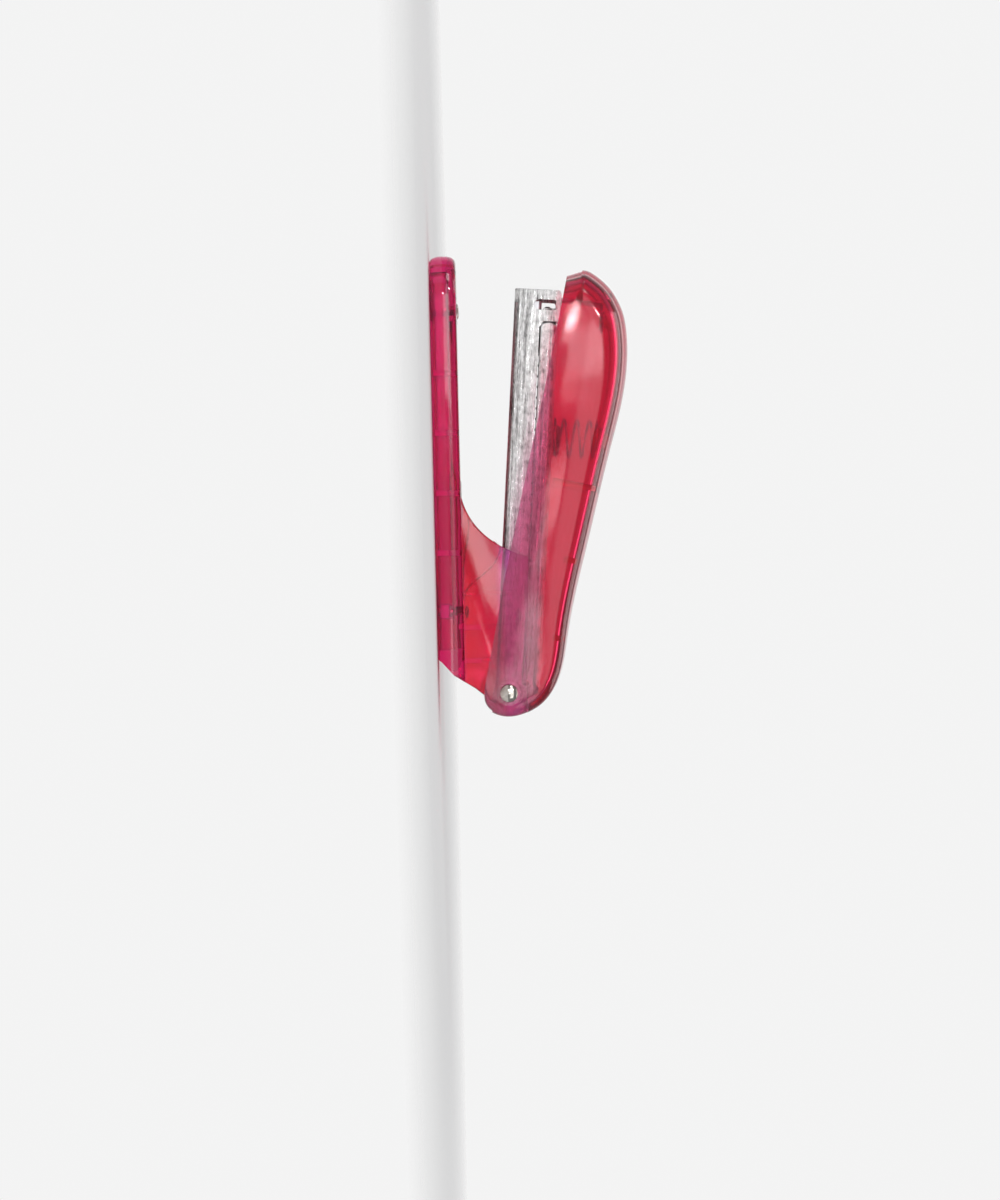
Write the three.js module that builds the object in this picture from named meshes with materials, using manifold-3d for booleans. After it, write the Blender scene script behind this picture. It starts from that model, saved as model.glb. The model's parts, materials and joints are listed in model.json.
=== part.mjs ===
// A small hand stapler with a see-through handle and base, open at rest.
// Millimetres. X runs from the mouth (-X) to the hinge (+X), Z is up, Y is across.
// Outlines are lists of [reach, height]: reach is the distance in front of the hinge axis.

import * as THREE from 'three';
import { mergeVertices } from 'three/addons/utils/BufferGeometryUtils.js';
import { LoftGeometry } from 'three/addons/geometries/LoftGeometry.js';
import Module from 'manifold-3d';

const wasm = await Module();
wasm.setup();

// ---- Driving dimensions ----

const PIN_HEIGHT = 15.1;            // hinge axis above the table
const PIN_RADIUS = 1.25;
const PIN_HEAD_RADIUS = 1.95;
const PIN_HEAD_HEIGHT = 1.1;
const RUNNING_GAP = 0.1;            // round a shaft in its hole
const SEAT_GAP = 0.3;               // between pieces that rest on or pass each other

const MAGAZINE_TILT = 4.25;         // degrees, front up, at rest
const HANDLE_TILT = 12;             // degrees, front up, at rest
const PRESS_TRAVEL = 6;             // degrees that the handle turns towards the cover

const SHEET = 0.6;                  // folded steel of the magazine and the cover
const MAGAZINE_REACH = 87.2;        // hinge axis to the front of the magazine
const MAGAZINE_WIDTH = 10.6;
const MAGAZINE_FLOOR = -3;          // underside, from the hinge axis
const MAGAZINE_WALL_TOP = 2.6;
const MAGAZINE_FRONT_TOP = 7.1;
const MAGAZINE_FRONT_LENGTH = 6.8;  // of the tall walls at the mouth
const DRIVER_SLOT = 1.4;            // length of the staple exit behind the front panel
const COVER_LOW = 3.1;              // lower edge of the cover's flanges
const COVER_TOP = 6.6;
const RAIL_WIDTH = 7.8;
const RAIL_TOP = 2.1;

const BASE_REACH = 94.8;            // hinge axis to the tip of the base
const BASE_THICKNESS = 5.8;
const BASE_FRONT_WIDTH = 20;
const BASE_REAR_WIDTH = 19;
const BASE_WALL = 1.9;
const BASE_FRONT_RADIUS = 9;        // of the tip, seen from above
const BASE_RIBS = 4;                // cross ribs in the hollow under the bar
const BASE_RIB_PITCH = 12.9;
const BASE_RIB_FRONT = 25.7;        // tip of the base to its front rib
const EAR_THICKNESS = 1.8;
const EAR_SIDE_GAP = 0.5;           // between an ear and the magazine
const EAR_RADIUS = 4.7;
const EAR_CREST = [29.2, 4.9];      // front top corner: reach, and height above the hinge axis

const NOSE_OVERHANG = 6;            // handle's nose in front of the magazine
const HANDLE_WALL = 1.5;
const HANDLE_CEILING = 1.8;
const HANDLE_SIDE_GAP = 0.4;        // between an ear and the handle's skirt
const HANDLE_BULGE = 2;             // how far the palm swells past the rear, each side
const HANDLE_EDGE = -5.3;           // lower edge of the handle, from the hinge axis
const BAND_HEIGHT = 2.7;            // plain band along the handle's lower edge
const BAND_STEP = 0.5;

const BLADE_THICKNESS = 0.5;
const BLADE_LOW = 1.5;              // lower edge of the driver blade at half travel
const BLADE_TOP = 5.165;            // its folded top, above the handle's own axis
const BLADE_FLANGE = 5.8;           // length of the fold at its top
const COIL_REACH = 55.6;            // handle spring, from the hinge axis
const COIL_RADIUS = 4.1;
const COIL_WIRE = 0.28;
const COIL_TURNS = 4.5;
const COIL_LENGTH = 9.2;
const ROD_RADIUS = 0.7;
const ROD_HEIGHT = 4.25;
const PUSHER_TURNS = 24;

const ROUND = 24;                   // sides of a round piece

// ---- Sizes that follow from them ----

const HALF_MAGAZINE = MAGAZINE_WIDTH / 2;
const HALF_CHANNEL = HALF_MAGAZINE - SHEET;
const EAR_IN = HALF_MAGAZINE + EAR_SIDE_GAP;
const EAR_OUT = EAR_IN + EAR_THICKNESS;
const SKIRT_IN = EAR_OUT + HANDLE_SIDE_GAP;
const SKIRT_OUT = SKIRT_IN + HANDLE_WALL;
const PIN_HOLE = PIN_RADIUS + RUNNING_GAP;
const BLADE_REACH = MAGAZINE_REACH - SHEET - DRIVER_SLOT / 2 - 0.25;
const BLADE_TURN = THREE.MathUtils.degToRad(HANDLE_TILT - MAGAZINE_TILT - PRESS_TRAVEL / 2);
const BLADE_HIGH = (BLADE_TOP + BLADE_REACH * Math.sin(BLADE_TURN)) / Math.cos(BLADE_TURN);
const COVER_FRONT = MAGAZINE_REACH - MAGAZINE_FRONT_LENGTH;
const TONGUE_FRONT = MAGAZINE_REACH - SHEET - DRIVER_SLOT - 1.9;
const BASE_DECK = BASE_THICKNESS - BASE_WALL;
const EAR_FLOOR = BASE_THICKNESS - 0.4;

// ---- Materials ----

const finish = (color, roughness, metalness, opacity = 1) =>
  new THREE.MeshStandardMaterial({ color, roughness, metalness, opacity, transparent: opacity < 1 });

const HANDLE_PLASTIC = finish(0xd42e4e, 0.12, 0, 0.75);
const BASE_PLASTIC = finish(0xc81c62, 0.12, 0, 0.75);
const ZINC_STEEL = finish(0xb9bab8, 0.34, 1);
const SPRING_STEEL = finish(0x8f8f92, 0.3, 1);
const RIVET_STEEL = finish(0xc9c4b8, 0.18, 1);

// ---- Helpers ----

// A closed three.js geometry as a solid that can be joined and cut.
function solid(geometry) {
  const bare = new THREE.BufferGeometry();
  bare.setAttribute('position', geometry.getAttribute('position'));
  bare.setIndex(geometry.getIndex());
  const merged = mergeVertices(bare, 1e-4);
  const corners = merged.getIndex().array;
  const kept = [];
  for (let i = 0; i < corners.length; i += 3) {
    const [a, b, c] = corners.slice(i, i + 3);
    if (a !== b && b !== c && a !== c) kept.push(a, b, c);
  }
  const vertProperties = new Float32Array(merged.getAttribute('position').array);
  const triVerts = new Uint32Array(kept);
  return new wasm.Manifold(new wasm.Mesh({ numProp: 3, vertProperties, triVerts }));
}

// A named mesh made from a solid.
function piece(name, shape, material) {
  const { vertProperties, triVerts } = shape.getMesh();
  const geometry = new THREE.BufferGeometry();
  geometry.setAttribute('position', new THREE.BufferAttribute(vertProperties, 3));
  geometry.setIndex(new THREE.BufferAttribute(triVerts, 1));
  geometry.computeVertexNormals();
  const mesh = new THREE.Mesh(geometry, material);
  mesh.name = name;
  return mesh;
}

// An outline seen from the side, thickened along Y about the plane y.
function plate(points, thickness, y = 0) {
  const shape = new THREE.Shape(points.map(([reach, height]) => new THREE.Vector2(-reach, height)));
  const geometry = new THREE.ExtrudeGeometry(shape, { depth: thickness, bevelEnabled: false });
  geometry.rotateX(Math.PI / 2);
  geometry.translate(0, y + thickness / 2, 0);
  return solid(geometry);
}

// The same plate on both sides, its middle plane at y and -y.
const platePair = (points, thickness, y) => plate(points, thickness, y).add(plate(points, thickness, -y));

// A box between two reaches, two y values and two heights.
function block([reachA, reachB], [yA, yB], [zA, zB]) {
  const geometry = new THREE.BoxGeometry(reachB - reachA, yB - yA, zB - zA);
  geometry.translate(-(reachA + reachB) / 2, (yA + yB) / 2, (zA + zB) / 2);
  return solid(geometry);
}

// A round bar across the stapler.
function crossBar(radius, reach, height, length) {
  const geometry = new THREE.CylinderGeometry(radius, radius, length, ROUND);
  geometry.translate(-reach, 0, height);
  return solid(geometry);
}

// A round bar along the stapler, between two reaches.
function longBar(radius, [reachA, reachB], height) {
  const geometry = new THREE.CylinderGeometry(radius, radius, reachB - reachA, ROUND / 2);
  geometry.rotateZ(Math.PI / 2);
  geometry.translate(-(reachA + reachB) / 2, 0, height);
  return solid(geometry);
}

// A turned piece standing along Z: profile is a list of [radius, height].
function turned(profile, reach, y, sides = ROUND) {
  const geometry = new THREE.LatheGeometry(profile.map(([r, z]) => new THREE.Vector2(r, z)), sides);
  geometry.rotateX(Math.PI / 2);
  geometry.translate(-reach, y, 0);
  return solid(geometry);
}

// Points on a circle round [reach, height], angles in degrees from straight ahead, upwards.
function arc([reach, height], radius, fromAngle, toAngle, steps) {
  return Array.from({ length: steps + 1 }, (_, i) => {
    const angle = THREE.MathUtils.degToRad(fromAngle + ((toAngle - fromAngle) * i) / steps);
    return [reach + radius * Math.cos(angle), height + radius * Math.sin(angle)];
  });
}

// A strip of even thickness that follows a plane curve of (reach, height).
function strip(curve, thickness, steps) {
  const above = [];
  const below = [];
  for (let i = 0; i <= steps; i += 1) {
    const point = curve.getPoint(i / steps);
    const along = curve.getTangent(i / steps);
    above.push([point.x - along.y * thickness / 2, point.y + along.x * thickness / 2]);
    below.push([point.x + along.y * thickness / 2, point.y - along.x * thickness / 2]);
  }
  return above.concat(below.reverse());
}

// A coil round the line from start along unit vectors: axis, and u and v across it.
class Helix extends THREE.Curve {
  constructor(start, axis, u, v, radius, turns, length) {
    super();
    Object.assign(this, { start, axis, u, v, radius, turns, length });
  }

  getPoint(t, target = new THREE.Vector3()) {
    const angle = 2 * Math.PI * this.turns * t;
    return target.copy(this.start)
      .addScaledVector(this.axis, this.length * t)
      .addScaledVector(this.u, this.radius * Math.cos(angle))
      .addScaledVector(this.v, this.radius * Math.sin(angle));
  }
}

// A round wire along a curve, closed at both ends.
function wire(curve, radius, sides, steps) {
  const shape = new THREE.Shape();
  const corners = Array.from({ length: sides }, (_, i) => (2 * Math.PI * i) / sides);
  shape.setFromPoints(corners.map((a) => new THREE.Vector2(radius * Math.cos(a), radius * Math.sin(a))));
  return solid(new THREE.ExtrudeGeometry(shape, { steps, extrudePath: curve, bevelEnabled: false }));
}

// Value of a smooth line through [reach, value] knots, listed by growing reach.
function follow(knots, reach) {
  const last = knots.length - 1;
  if (reach <= knots[0][0]) return knots[0][1];
  if (reach >= knots[last][0]) return knots[last][1];
  const i = knots.findIndex(([at]) => at > reach) - 1;
  const slope = (k) => {
    const [a, b] = [knots[Math.max(k - 1, 0)], knots[Math.min(k + 1, last)]];
    return (b[1] - a[1]) / (b[0] - a[0]);
  };
  const span = knots[i + 1][0] - knots[i][0];
  const t = (reach - knots[i][0]) / span;
  const rise = knots[i + 1][1] - knots[i][1];
  const [from, to] = [slope(i) * span, slope(i + 1) * span];
  return knots[i][1] + t * from + t * t * (3 * rise - 2 * from - to) + t * t * t * (from + to - 2 * rise);
}

// ---- Base: hollow bar, ears, anvil, lift spring ----

// Half width of the base bar, rounded at its tip.
function baseHalfWidth(reach) {
  const share = reach / BASE_REACH;
  const half = (BASE_REAR_WIDTH + (BASE_FRONT_WIDTH - BASE_REAR_WIDTH) * share) / 2;
  const past = Math.max(reach - (BASE_REACH - BASE_FRONT_RADIUS), 0);
  return half - BASE_FRONT_RADIUS + Math.sqrt(BASE_FRONT_RADIUS ** 2 - past ** 2);
}

// One rounded cross-section of the bar.
function barSection(reach, half, low, high, radius) {
  const corners = [[half, high, 0], [-half, high, 90], [-half, low, 180], [half, low, 270]];
  const points = [];
  for (const [y, z, start] of corners) {
    const centre = [y - Math.sign(y) * radius, z === high ? z - radius : z + radius];
    for (const [py, pz] of arc(centre, radius, start, start + 90, 3)) {
      points.push(new THREE.Vector3(-reach, py, pz));
    }
  }
  return points;
}

function baseBar() {
  const nose = BASE_THICKNESS / 2;
  const tip = [0.02, 0.1, 0.25, 0.5, 0.8, 1].map((share) => BASE_REACH - nose * share);
  const rest = [5, 7, 9, 12, 60, BASE_REACH].map((back) => BASE_REACH - back);
  const sections = tip.concat(rest).map((reach) => {
    const past = Math.max(reach - (BASE_REACH - nose), 0);
    const half = Math.sqrt(nose ** 2 - past ** 2);
    return barSection(reach, baseHalfWidth(reach), nose - half, nose + half, Math.min(1.4, half * 0.8));
  });
  return solid(new LoftGeometry(sections, { capStart: true, capEnd: true }));
}

const HALF_RIB = 0.6;
const HALF_WEB = 0.8;

// The hollow under the deck, left standing in cross ribs and one long web.
function baseHollow() {
  const front = BASE_REACH - 4.5;
  const rear = 9.5;
  const stations = [front, front - 1.5, front - 4, front - 7, rear];
  const sections = stations.map((reach) => {
    const half = baseHalfWidth(reach) - BASE_WALL;
    return [[half, -1], [half, BASE_DECK], [-half, BASE_DECK], [-half, -1]]
      .map(([y, z]) => new THREE.Vector3(-reach, y, z));
  });
  let hollow = solid(new LoftGeometry(sections, { capStart: true, capEnd: true }));
  const height = [-2, BASE_DECK + 1];
  for (let i = 0; i < BASE_RIBS; i += 1) {
    const reach = BASE_REACH - BASE_RIB_FRONT - i * BASE_RIB_PITCH;
    const rib = block([reach - HALF_RIB, reach + HALF_RIB], [-BASE_FRONT_WIDTH, BASE_FRONT_WIDTH], height);
    hollow = hollow.subtract(rib);
  }
  return hollow.subtract(block([0, BASE_REACH], [-HALF_WEB, HALF_WEB], height));
}

function earOutline() {
  const root = new THREE.Vector2(EAR_CREST[0] + 18.1, BASE_THICKNESS - 0.5);
  const low = new THREE.Vector2(EAR_CREST[0] + 7.6, BASE_THICKNESS - 0.5);
  const crest = new THREE.Vector2(EAR_CREST[0], PIN_HEIGHT + EAR_CREST[1]);
  const high = new THREE.Vector2(EAR_CREST[0] + 2.3, PIN_HEIGHT - 3.1);
  const rise = new THREE.CubicBezierCurve(root, low, high, crest).getPoints(9).map((p) => [p.x, p.y]);
  const crown = EAR_RADIUS - 0.8;
  const back = arc([0, PIN_HEIGHT], EAR_RADIUS, 170, 250, 5);
  const over = [100, 125, 150].map((degrees) => {
    const angle = THREE.MathUtils.degToRad(degrees);
    return [EAR_RADIUS * Math.cos(angle), PIN_HEIGHT + crown * Math.sin(angle)];
  });
  const slant = [[-0.3, PIN_HEIGHT - 5.4], [1.1, PIN_HEIGHT - 7.1], [3.6, EAR_FLOOR - 1]];
  return rise.concat([[2.3, PIN_HEIGHT + crown]], over, back, slant, [[root.x, EAR_FLOOR - 1]]);
}

// The anvil plate, its two rivets, and the rivet of the lift spring.
const ANVIL = { front: BLADE_REACH + 5.15, rear: BLADE_REACH - 4.85, half: 7, thickness: 0.8 };
const GROOVE = { inner: 1, outer: 4.6, half: 0.7, depth: 0.35, back: 0.2 };
const ANVIL_RIVETS = [-5, 5];
const ANVIL_RIVET_REACH = ANVIL.rear + 2;
const RIVET_RADIUS = 0.7;
const LEAF_RIVET_REACH = 17.8;

function baseBody() {
  const wide = BASE_FRONT_WIDTH + 4;
  const rearCut = plate([[8.5, -1], [7.6, 0], [4.1, 3.4], [1.1, 8], [-5, 8], [-5, -1]], wide);
  let body = baseBar().subtract(rearCut).subtract(baseHollow());
  body = body.add(platePair(earOutline(), EAR_THICKNESS, (EAR_IN + EAR_OUT) / 2));
  body = body.subtract(block([-6, 46], [-EAR_IN, EAR_IN], [EAR_FLOOR, 40]));
  for (const reach of [14.3, 7.2]) {
    const wall = block([reach - 0.55, reach + 0.55], [-EAR_IN - 0.4, EAR_IN + 0.4], [EAR_FLOOR - 0.6, 9.5]);
    body = body.add(wall);
  }
  body = body.subtract(crossBar(PIN_HOLE, 0, PIN_HEIGHT, 40));
  const pocketFloor = BASE_THICKNESS - ANVIL.thickness - SEAT_GAP;
  const reachSpan = [ANVIL.rear - SEAT_GAP, ANVIL.front + SEAT_GAP];
  const halfPocket = ANVIL.half + SEAT_GAP;
  body = body.subtract(block(reachSpan, [-halfPocket, halfPocket], [pocketFloor, BASE_THICKNESS + 1]));
  const hole = RIVET_RADIUS + SEAT_GAP;
  const sunk = [[0, -1], [1.7, -1], [1.7, BASE_DECK], [hole, BASE_DECK]];
  const bore = sunk.concat([[hole, BASE_THICKNESS + 1], [0, BASE_THICKNESS + 1]]);
  for (const y of ANVIL_RIVETS) body = body.subtract(turned(bore, ANVIL_RIVET_REACH, y, 12));
  const leafBore = sunk.concat([[hole, EAR_FLOOR + 1], [0, EAR_FLOOR + 1]]);
  body = body.subtract(turned(leafBore, LEAF_RIVET_REACH, 0, 12));
  return piece('base_body', body, BASE_PLASTIC);
}

function anvilPlate() {
  const span = [ANVIL.rear, ANVIL.front];
  const low = BASE_THICKNESS - ANVIL.thickness;
  let plateBody = block(span, [-ANVIL.half, ANVIL.half], [low, BASE_THICKNESS]);
  const strike = BLADE_REACH - GROOVE.back;
  const along = [strike - GROOVE.half, strike + GROOVE.half];
  const depth = [BASE_THICKNESS - GROOVE.depth, BASE_THICKNESS + 1];
  for (const y of [[GROOVE.inner, GROOVE.outer], [-GROOVE.outer, -GROOVE.inner]]) {
    plateBody = plateBody.subtract(block(along, y, depth));
  }
  const hole = RIVET_RADIUS + SEAT_GAP;
  const bore = [[0, 0], [hole, 0], [hole, BASE_THICKNESS + 1], [0, BASE_THICKNESS + 1]];
  for (const y of ANVIL_RIVETS) plateBody = plateBody.subtract(turned(bore, ANVIL_RIVET_REACH, y, 12));
  return piece('anvil_plate', plateBody, ZINC_STEEL);
}

function anvilRivet(name, y) {
  const under = BASE_DECK - SEAT_GAP;
  const profile = [[0, under - 0.6], [1.4, under - 0.6], [1.4, under], [RIVET_RADIUS, under]];
  profile.push([RIVET_RADIUS, BASE_THICKNESS - 0.05], [0, BASE_THICKNESS - 0.05]);
  return piece(name, turned(profile, ANVIL_RIVET_REACH, y, 12), RIVET_STEEL);
}

// Leaf that lifts the magazine off the base.
const LEAF_THICKNESS = 0.4;

function liftSpring() {
  const seat = EAR_FLOOR + SEAT_GAP + LEAF_THICKNESS / 2;
  const angle = THREE.MathUtils.degToRad(MAGAZINE_TILT);
  const touch = 30.8;
  const ceiling = PIN_HEIGHT + MAGAZINE_FLOOR / Math.cos(angle) + touch * Math.tan(angle);
  const crest = ceiling - SEAT_GAP - LEAF_THICKNESS;
  const path = new THREE.CurvePath();
  path.add(new THREE.LineCurve(new THREE.Vector2(15.4, seat), new THREE.Vector2(20.5, seat)));
  const bend = [[20.5, seat], [24.5, seat], [26.5, crest - 1.2], [touch, crest]];
  path.add(new THREE.CubicBezierCurve(...bend.map(([x, z]) => new THREE.Vector2(x, z))));
  const curl = [[touch, crest], [touch + 1.4, crest + 0.4], [touch + 2.2, crest - 1.1]];
  path.add(new THREE.QuadraticBezierCurve(...curl.map(([x, z]) => new THREE.Vector2(x, z))));
  const bore = [[0, 0], [RIVET_RADIUS + SEAT_GAP, 0], [RIVET_RADIUS + SEAT_GAP, 9], [0, 9]];
  const leaf = plate(strip(path, LEAF_THICKNESS, 20), 6).subtract(turned(bore, LEAF_RIVET_REACH, 0, 12));
  return piece('lift_spring', leaf, SPRING_STEEL);
}

function liftSpringRivet() {
  const under = BASE_DECK - SEAT_GAP;
  const over = EAR_FLOOR + LEAF_THICKNESS + 2 * SEAT_GAP;
  const profile = [[0, under - 0.6], [1.3, under - 0.6], [1.3, under], [RIVET_RADIUS, under]];
  profile.push([RIVET_RADIUS, over], [1.4, over], [1.1, over + 0.5], [0, over + 0.7]);
  return piece('lift_spring_rivet', turned(profile, LEAF_RIVET_REACH, 0, 12), RIVET_STEEL);
}

// ---- Hinge pin and its sleeve ----

function hingePin() {
  const face = SKIRT_OUT + BAND_STEP + SEAT_GAP;
  const end = face + PIN_HEAD_HEIGHT;
  const head = [[PIN_RADIUS, face], [PIN_HEAD_RADIUS, face], [PIN_HEAD_RADIUS * 0.94, face + 0.35]];
  head.push([PIN_HEAD_RADIUS * 0.74, face + 0.75], [PIN_HEAD_RADIUS * 0.4, end - 0.08], [0, end]);
  const tail = head.map(([r, y]) => [r, -y]).reverse();
  const profile = tail.concat(head).map(([r, y]) => new THREE.Vector2(r, y));
  const geometry = new THREE.LatheGeometry(profile, ROUND);
  geometry.translate(0, 0, PIN_HEIGHT);
  return piece('hinge_pin', solid(geometry), RIVET_STEEL);
}

const COVER_EAR_Y = HALF_CHANNEL - 0.5;

function pivotSleeve() {
  const length = 2 * (COVER_EAR_Y - SHEET / 2 - SEAT_GAP);
  const tube = crossBar(PIN_HOLE + 0.65, 0, PIN_HEIGHT, length);
  return piece('pivot_sleeve', tube.subtract(crossBar(PIN_HOLE, 0, PIN_HEIGHT, 40)), ZINC_STEEL);
}

// ---- Magazine: channel, tall front, rail ----

function magazine() {
  const wallY = HALF_MAGAZINE - SHEET / 2;
  const low = MAGAZINE_FLOOR;
  const front = [[MAGAZINE_REACH, low], [MAGAZINE_REACH, MAGAZINE_FRONT_TOP]];
  const outline = front.concat([[COVER_FRONT, MAGAZINE_FRONT_TOP]]);
  const notch = [[COVER_FRONT, MAGAZINE_WALL_TOP + 1.2], [COVER_FRONT - 0.4, MAGAZINE_WALL_TOP + 0.3]];
  const rear = [[COVER_FRONT - 1.3, MAGAZINE_WALL_TOP], [8, MAGAZINE_WALL_TOP], [6.5, 2.4], [1.8, 2.4]];
  const walls = outline.concat(notch, rear, arc([0, 0], -low, 90, 270, 10));
  const slotRear = MAGAZINE_REACH - SHEET - DRIVER_SLOT;
  let body = platePair(walls, SHEET, wallY);
  const y = [-HALF_MAGAZINE, HALF_MAGAZINE];
  body = body.add(block([5, slotRear], y, [low, low + SHEET]));
  body = body.add(block([MAGAZINE_REACH - SHEET, MAGAZINE_REACH], y, [low, MAGAZINE_FRONT_TOP]));
  const window = [[slotRear - 2.4, 6], [slotRear - 0.1, 6], [slotRear - 0.1, 2], [slotRear - 1.3, 0.8]];
  window.push([slotRear - 2.4, 2]);
  body = body.subtract(plate(window, MAGAZINE_WIDTH + 2));
  body = body.subtract(crossBar(PIN_HOLE, 0, 0, 40));
  return piece('magazine', body, ZINC_STEEL);
}

function stapleRail() {
  const span = [13, MAGAZINE_REACH - SHEET - DRIVER_SLOT - 0.2];
  const half = RAIL_WIDTH / 2;
  const low = MAGAZINE_FLOOR + SHEET + SEAT_GAP;
  const outside = block(span, [-half, half], [low, RAIL_TOP]);
  const inside = block([span[0] - 1, span[1] + 1], [SHEET - half, half - SHEET], [low - 1, RAIL_TOP - SHEET]);
  return piece('staple_rail', outside.subtract(inside), ZINC_STEEL);
}

// ---- Cover: channel above the magazine, front tongue, rear ears ----

const ANCHOR = [2.26, 3.44];
const ANCHOR_RADIUS = 0.75;
const REAR_TAB = 9.6;
const ROD_HOLE = ROD_RADIUS + 0.25;

function magazineCover() {
  const half = HALF_MAGAZINE;
  const under = COVER_TOP - SHEET;
  const nose = (COVER_TOP - COVER_LOW) / 2;
  const flange = [[5, COVER_LOW], [5, COVER_TOP]];
  flange.push(...arc([COVER_FRONT - SEAT_GAP - nose, COVER_TOP - nose], nose, 90, -90, 8));
  let body = platePair(flange, SHEET, half - SHEET / 2);
  body = body.add(block([1.5, COVER_FRONT - SEAT_GAP - nose], [-half, half], [under, COVER_TOP]));
  const tongueHalf = HALF_CHANNEL - SEAT_GAP;
  const tongue = [COVER_FRONT - 4, TONGUE_FRONT];
  body = body.add(block(tongue, [-tongueHalf, tongueHalf], [under, COVER_TOP]));
  body = body.add(block([TONGUE_FRONT - SHEET, TONGUE_FRONT], [-tongueHalf, tongueHalf], [3.3, under + 0.1]));
  body = body.add(block([REAR_TAB, REAR_TAB + SHEET], [-2.6, 2.6], [2.8, under + 0.1]));
  const ears = [[9, under + 0.3], [9, 3], [3, -1.2], ...arc([0, 0], 2.8, -60, -200, 8), [0.2, under + 0.3]];
  body = body.add(platePair(ears, SHEET, COVER_EAR_Y));
  body = body.subtract(crossBar(PIN_HOLE, 0, 0, 40));
  body = body.subtract(crossBar(ANCHOR_RADIUS + RUNNING_GAP, ANCHOR[0], ANCHOR[1], 2 * COVER_EAR_Y + 2));
  body = body.subtract(longBar(ROD_HOLE, [REAR_TAB - 1, TONGUE_FRONT + 1], ROD_HEIGHT));
  return piece('magazine_cover', body, ZINC_STEEL);
}

function anchorPin() {
  return piece('spring_anchor_pin', crossBar(ANCHOR_RADIUS, ...ANCHOR, MAGAZINE_WIDTH + 0.4), RIVET_STEEL);
}

// The pusher's block stops behind the cover's front tab; its saddle runs on to the staples.
const PUSHER_FRONT = MAGAZINE_REACH - SHEET - DRIVER_SLOT - 0.5;
const PUSHER_BLOCK = TONGUE_FRONT - SHEET - SEAT_GAP;
const PUSHER_REAR = PUSHER_BLOCK - 8.5;

function pusher() {
  const half = HALF_CHANNEL - 0.2;
  const saddleLow = RAIL_TOP + 0.3;
  const saddle = [MAGAZINE_FLOOR + SHEET + 0.5, saddleLow + 0.5];
  let body = block([PUSHER_REAR, PUSHER_FRONT], [-half, half], saddle);
  const clear = RAIL_WIDTH / 2 + 0.2;
  const past = [PUSHER_REAR - 1, PUSHER_FRONT + 1];
  body = body.subtract(block(past, [-clear, clear], [MAGAZINE_FLOOR - 1, saddleLow]));
  const box = [saddleLow + 0.2, COVER_TOP - SHEET - SEAT_GAP];
  body = body.add(block([PUSHER_REAR, PUSHER_BLOCK], [-3, 3], box));
  body = body.subtract(longBar(ROD_HOLE, past, ROD_HEIGHT));
  return piece('pusher', body, SPRING_STEEL);
}

function pusherRod() {
  const span = [ANCHOR[0] + ANCHOR_RADIUS + SEAT_GAP, TONGUE_FRONT + 0.6];
  return piece('pusher_rod', longBar(ROD_RADIUS, span, ROD_HEIGHT), SPRING_STEEL);
}

function pusherSpring() {
  const wireRadius = 0.2;
  const rear = REAR_TAB + SHEET + SEAT_GAP + wireRadius;
  const front = PUSHER_REAR - SEAT_GAP - wireRadius;
  const start = new THREE.Vector3(-rear, 0, ROD_HEIGHT);
  const axis = new THREE.Vector3(-1, 0, 0);
  const across = [new THREE.Vector3(0, 1, 0), new THREE.Vector3(0, 0, 1)];
  const helix = new Helix(start, axis, ...across, 1.4, PUSHER_TURNS, front - rear);
  return piece('pusher_spring', wire(helix, wireRadius, 4, PUSHER_TURNS * 8), SPRING_STEEL);
}

// ---- Handle spring and its seat, on the cover ----

function springSeat() {
  const low = COVER_TOP + SEAT_GAP;
  const profile = [[0, low], [2.9, low], [2.9, low + 0.7], [2.3, low + 1.5], [0, low + 1.5]];
  return piece('spring_seat', turned(profile, COIL_REACH, 0), ZINC_STEEL);
}

function handleSpring() {
  const start = new THREE.Vector3(-COIL_REACH, 0, COVER_TOP + SEAT_GAP + COIL_WIRE);
  const across = [new THREE.Vector3(1, 0, 0), new THREE.Vector3(0, 1, 0)];
  const up = new THREE.Vector3(0, 0, 1);
  const helix = new Helix(start, up, ...across, COIL_RADIUS, COIL_TURNS, COIL_LENGTH);
  return piece('handle_spring', wire(helix, COIL_WIRE, 5, COIL_TURNS * 12), SPRING_STEEL);
}

// ---- Handle: shell, ribs, spring boss, driver stake ----

// Crown line of the handle: knots round the hinge, along the back, and back from the nose.
const HANDLE_REACH = MAGAZINE_REACH + NOSE_OVERHANG;
const HEEL_CROWN = [[-5.2, 1.3], [-4.4, 3.3], [-2.8, 5.8], [-0.9, 7.7], [1.2, 8.95], [3.9, 9.9], [15, 10.3]];
const BACK_CROWN = [[0.384, 10.9], [0.593, 11.9], [0.744, 12.5]]
  .map(([share, z]) => [share * HANDLE_REACH, z]);
const NOSE_CROWN = [[14.4, 11.3], [9.2, 9.5], [6.2, 7.9], [3.4, 5.3], [1.4, 2], [0, -0.9]]
  .map(([back, z]) => [HANDLE_REACH - back, z]);
const CROWN = HEEL_CROWN.concat(BACK_CROWN, NOSE_CROWN);

// How much of the bulge the handle's side has, by its share of the reach.
const REAR_SWELL = [[0, 0], [0.19, 0.12], [0.43, 0.62], [0.665, 1]];
const NOSE_SWELL = [[0.815, 0.96], [0.9, 0.6], [0.95, -0.1], [0.982, -1.1], [1, -2.4]];
const SWELL = REAR_SWELL.concat(NOSE_SWELL).map(([share, swell]) => [share * HANDLE_REACH, swell]);

const handleHalfWidth = (reach) => SKIRT_OUT + BAND_STEP + HANDLE_BULGE * follow(SWELL, reach);

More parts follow.
